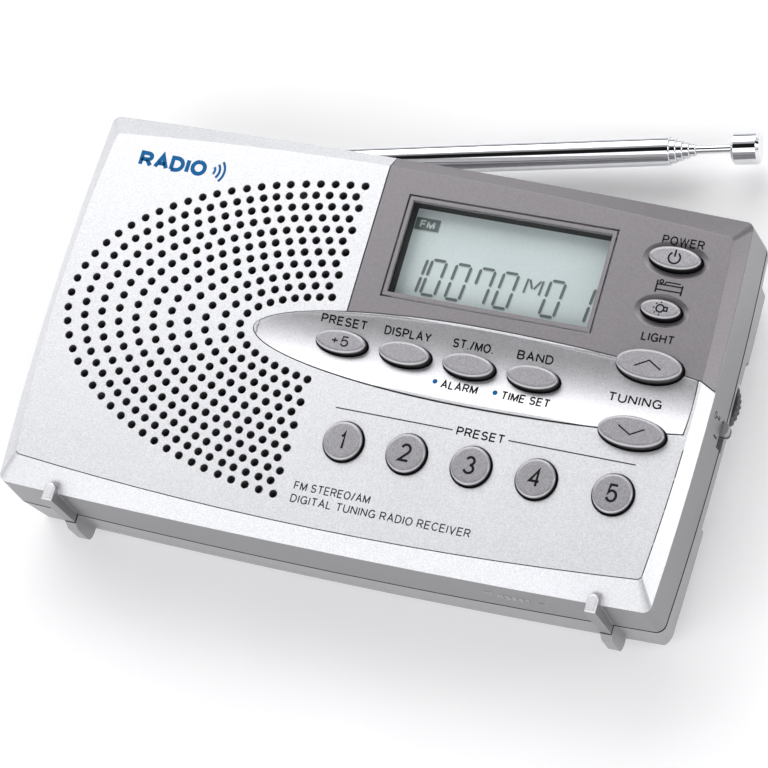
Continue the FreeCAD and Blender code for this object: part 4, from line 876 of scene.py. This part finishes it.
def frame_shape(outer, inner):
    """A flat rectangular frame between two boxes given as left, right, bottom, top."""
    corners = []
    for left, right, bottom, top in (outer, inner):
        corners += [Vector(corner) for corner in ((left, bottom), (right, bottom), (right, top), (left, top))]
    return corners, [(i, (i + 1) % 4, 4 + (i + 1) % 4, 4 + i) for i in range(4)]


def inset(box, distance):
    """The box left, right, bottom, top, with each side moved in by the distance."""
    left, right, bottom, top = box
    return left + distance, right - distance, bottom + distance, top - distance


def window_edges():
    """The painted border on the window's upper side, and a black lining of painted shade on the recess walls
    under it.
    """
    low, high = (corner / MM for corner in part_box("display_lens"))
    window = (low.x, high.x, low.y, high.y)
    opening = inset(window, BORDER)
    surface = Surface("display_lens")
    lay("window_border", frame_shape(inset(window, LENS_EDGE), opening), surface, MATERIALS["panel_grey"],
        fixed=high.z, thickness=BORDER_FILM)
    lcd_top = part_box("lcd_panel")[1].z / MM
    # Painted shade: a thin black lining over the recess walls.
    lay("recess_shade_lining", frame_shape(inset(opening, -WALL_SHADE_LINING), opening), surface, SHADE_BLACK,
        fixed=lcd_top, thickness=(low.z - lcd_top - 0.02) * MM, sink=-0.01 * MM)


# ---------------------------------------------------------------- marks on the sides
# The reset hole in the bottom side, in mm
RESET_X = 37.4
RESET_Z = 15.6


def side_marks():
    """The lock switch's key symbol and bars, printed beside its slot."""
    slot = middle("lock_slider")
    key = [ring((0, 2.0), 0.5, 0.2, 20), ribbon([(0, 1.5), (0, -0.6)], 0.2)]
    key += [ribbon([(0, y), (0.55, y)], 0.2) for y in (-0.5, 0.05)]
    lay("icon_key", moved(merged(key), slot.y + 0.5, slot.z + 4.1), RIGHT_SIDE, INK_BLACK)
    bar_y = slot.y - 2.3
    lay("lock_bar", ribbon([(bar_y, slot.z + 2.6), (bar_y, slot.z + 4.6)], 0.3), RIGHT_SIDE, INK_BLACK)


def reset_mark():
    """A raised word and an arrow to the left of the reset hole on the bottom side."""
    paint = MATERIALS["silver_plastic"]
    word_shape = moved(lettering("RESET", LABEL_HEIGHT, 5.6, LABEL_STROKE), RESET_X - 4.4, RESET_Z)
    arrow = moved(polygon([(-0.8, 1.0), (0.8, 1.0), (0, -0.6)]), RESET_X - 8.8, RESET_Z)
    for name, shape in (("mark_reset", word_shape), ("mark_reset_arrow", arrow)):
        lay(name, shape, BOTTOM_SIDE, paint, thickness=RAISED_MARK)


face_labels()
second_functions()
preset_heading()
face_print()
face_crease()
button_prints()
panel_icon()
display_graphics()
window_edges()
side_marks()
reset_mark()


# ---------------------------------------------------------------- stage: floor, lights, camera
FLOOR_HALF = 3.0           # metres
WORLD_STOPS = ((0.0, 0.3), (0.04, 0.9), (0.20, 1.0), (0.24, 1.7), (0.35, 1.7), (0.375, 0.01), (0.51, 0.01),
               (0.55, 0.55), (0.66, 0.60), (0.70, 0.8), (0.80, 0.8), (0.83, 0.05), (0.895, 0.02), (0.94, 0.7),
               (1.0, 0.7))


def floor():
    """A plain pale floor."""
    mesh = bpy.data.meshes.new("floor")
    corners = [(-1, -1), (1, -1), (1, 1), (-1, 1)]
    mesh.from_pydata([(FLOOR_HALF * x, FLOOR_HALF * y, 0) for x, y in corners], [], [(0, 1, 2, 3)])
    plane = bpy.data.objects.new("floor", mesh)
    bpy.context.scene.collection.objects.link(plane)
    n = Nodes("floor_paint")
    tint = n.ramp(n.noise(30.0, 4.0), [(0.3, (0.94, 0.94, 0.94)), (0.7, (0.97, 0.97, 0.97))])
    n.set(Base_Color=tint, Roughness=0.8, Emission_Color=(1.0, 1.0, 1.0), Emission_Strength=0.15)
    dress(plane, n.material)


def area_light(name, place, target, size, power):
    """A rectangular soft light that faces the target. Places and sizes are in metres."""
    data = bpy.data.lights.new(name, "AREA")
    data.shape = "RECTANGLE"
    data.size, data.size_y = size
    data.energy = power
    lamp = bpy.data.objects.new(name, data)
    bpy.context.scene.collection.objects.link(lamp)
    lamp.location = place
    lamp.rotation_mode = "QUATERNION"
    lamp.rotation_quaternion = (Vector(target) - Vector(place)).to_track_quat("-Z", "Y")


def studio_world():
    """A white backdrop for the camera, and for reflections a studio of pale and dark panels.

    The panels run from left to right. The ramp goes over them from the front horizon, 0, to the back one, 1.
    """
    world = bpy.data.worlds.new("studio")
    bpy.context.scene.world = world
    world.use_nodes = True
    tree = world.node_tree
    background = tree.nodes["Background"]
    place = tree.nodes.new("ShaderNodeTexCoord")
    parts = tree.nodes.new("ShaderNodeSeparateXYZ")
    turn = tree.nodes.new("ShaderNodeMath")
    turn.operation = "ARCTAN2"
    share = tree.nodes.new("ShaderNodeMapRange")
    share.inputs["From Min"].default_value = math.pi
    share.inputs["From Max"].default_value = 0.0
    panels = tree.nodes.new("ShaderNodeValToRGB")
    elements = panels.color_ramp.elements
    while len(elements) < len(WORLD_STOPS):
        elements.new(0.5)
    for element, (position, shade) in zip(elements, WORLD_STOPS):
        element.position = position
        element.color = (shade, shade, shade * 1.02, 1.0)
    path = tree.nodes.new("ShaderNodeLightPath")
    seen = tree.nodes.new("ShaderNodeMix")
    seen.data_type = "RGBA"
    seen.inputs[7].default_value = (1.0, 1.0, 1.0, 1.0)
    tree.links.new(place.outputs["Generated"], parts.inputs["Vector"])
    tree.links.new(parts.outputs["Z"], turn.inputs[0])
    tree.links.new(parts.outputs["Y"], turn.inputs[1])
    tree.links.new(turn.outputs["Value"], share.inputs["Value"])
    tree.links.new(share.outputs["Result"], panels.inputs["Fac"])
    tree.links.new(path.outputs["Is Camera Ray"], seen.inputs[0])
    tree.links.new(panels.outputs["Color"], seen.inputs[6])
    tree.links.new(seen.outputs[2], background.inputs["Color"])


def lights():
    """A large key light behind the radio, and weaker fills in front and to the right."""
    area_light("key", (-0.42, 0.80, 0.82), (0, 0, 0), (1.3, 0.9), 7.7)
    area_light("fill_south", (-0.45, -1.1, 0.34), (0, 0, 0.01), (1.1, 0.4), 1.2)
    area_light("fill_east", (1.2, 0.3, 0.5), (0, 0, 0.01), (0.5, 0.5), 2.2)


def camera():
    """Looks down on the radio's front right corner, with a slight roll."""
    data = bpy.data.cameras.new("camera")
    data.lens = 183.6
    data.sensor_width = 36.0
    data.clip_start = 0.05
    data.clip_end = 10.0
    eye = bpy.data.objects.new("camera", data)
    bpy.context.scene.collection.objects.link(eye)
    right = Vector((0.924, 0.273, -0.269)).normalized()
    back = Vector((0.341, -0.264, 0.902)).normalized()
    up = back.cross(right).normalized()
    right = up.cross(back)
    turn = Matrix((right, up, back)).transposed()
    eye.matrix_world = Matrix.Translation(Vector((0.2169, -0.1696, 0.5845))) @ turn.to_4x4()
    bpy.context.scene.camera = eye


floor()
studio_world()
lights()
camera()
bpy.context.scene.view_settings.view_transform = "Standard"
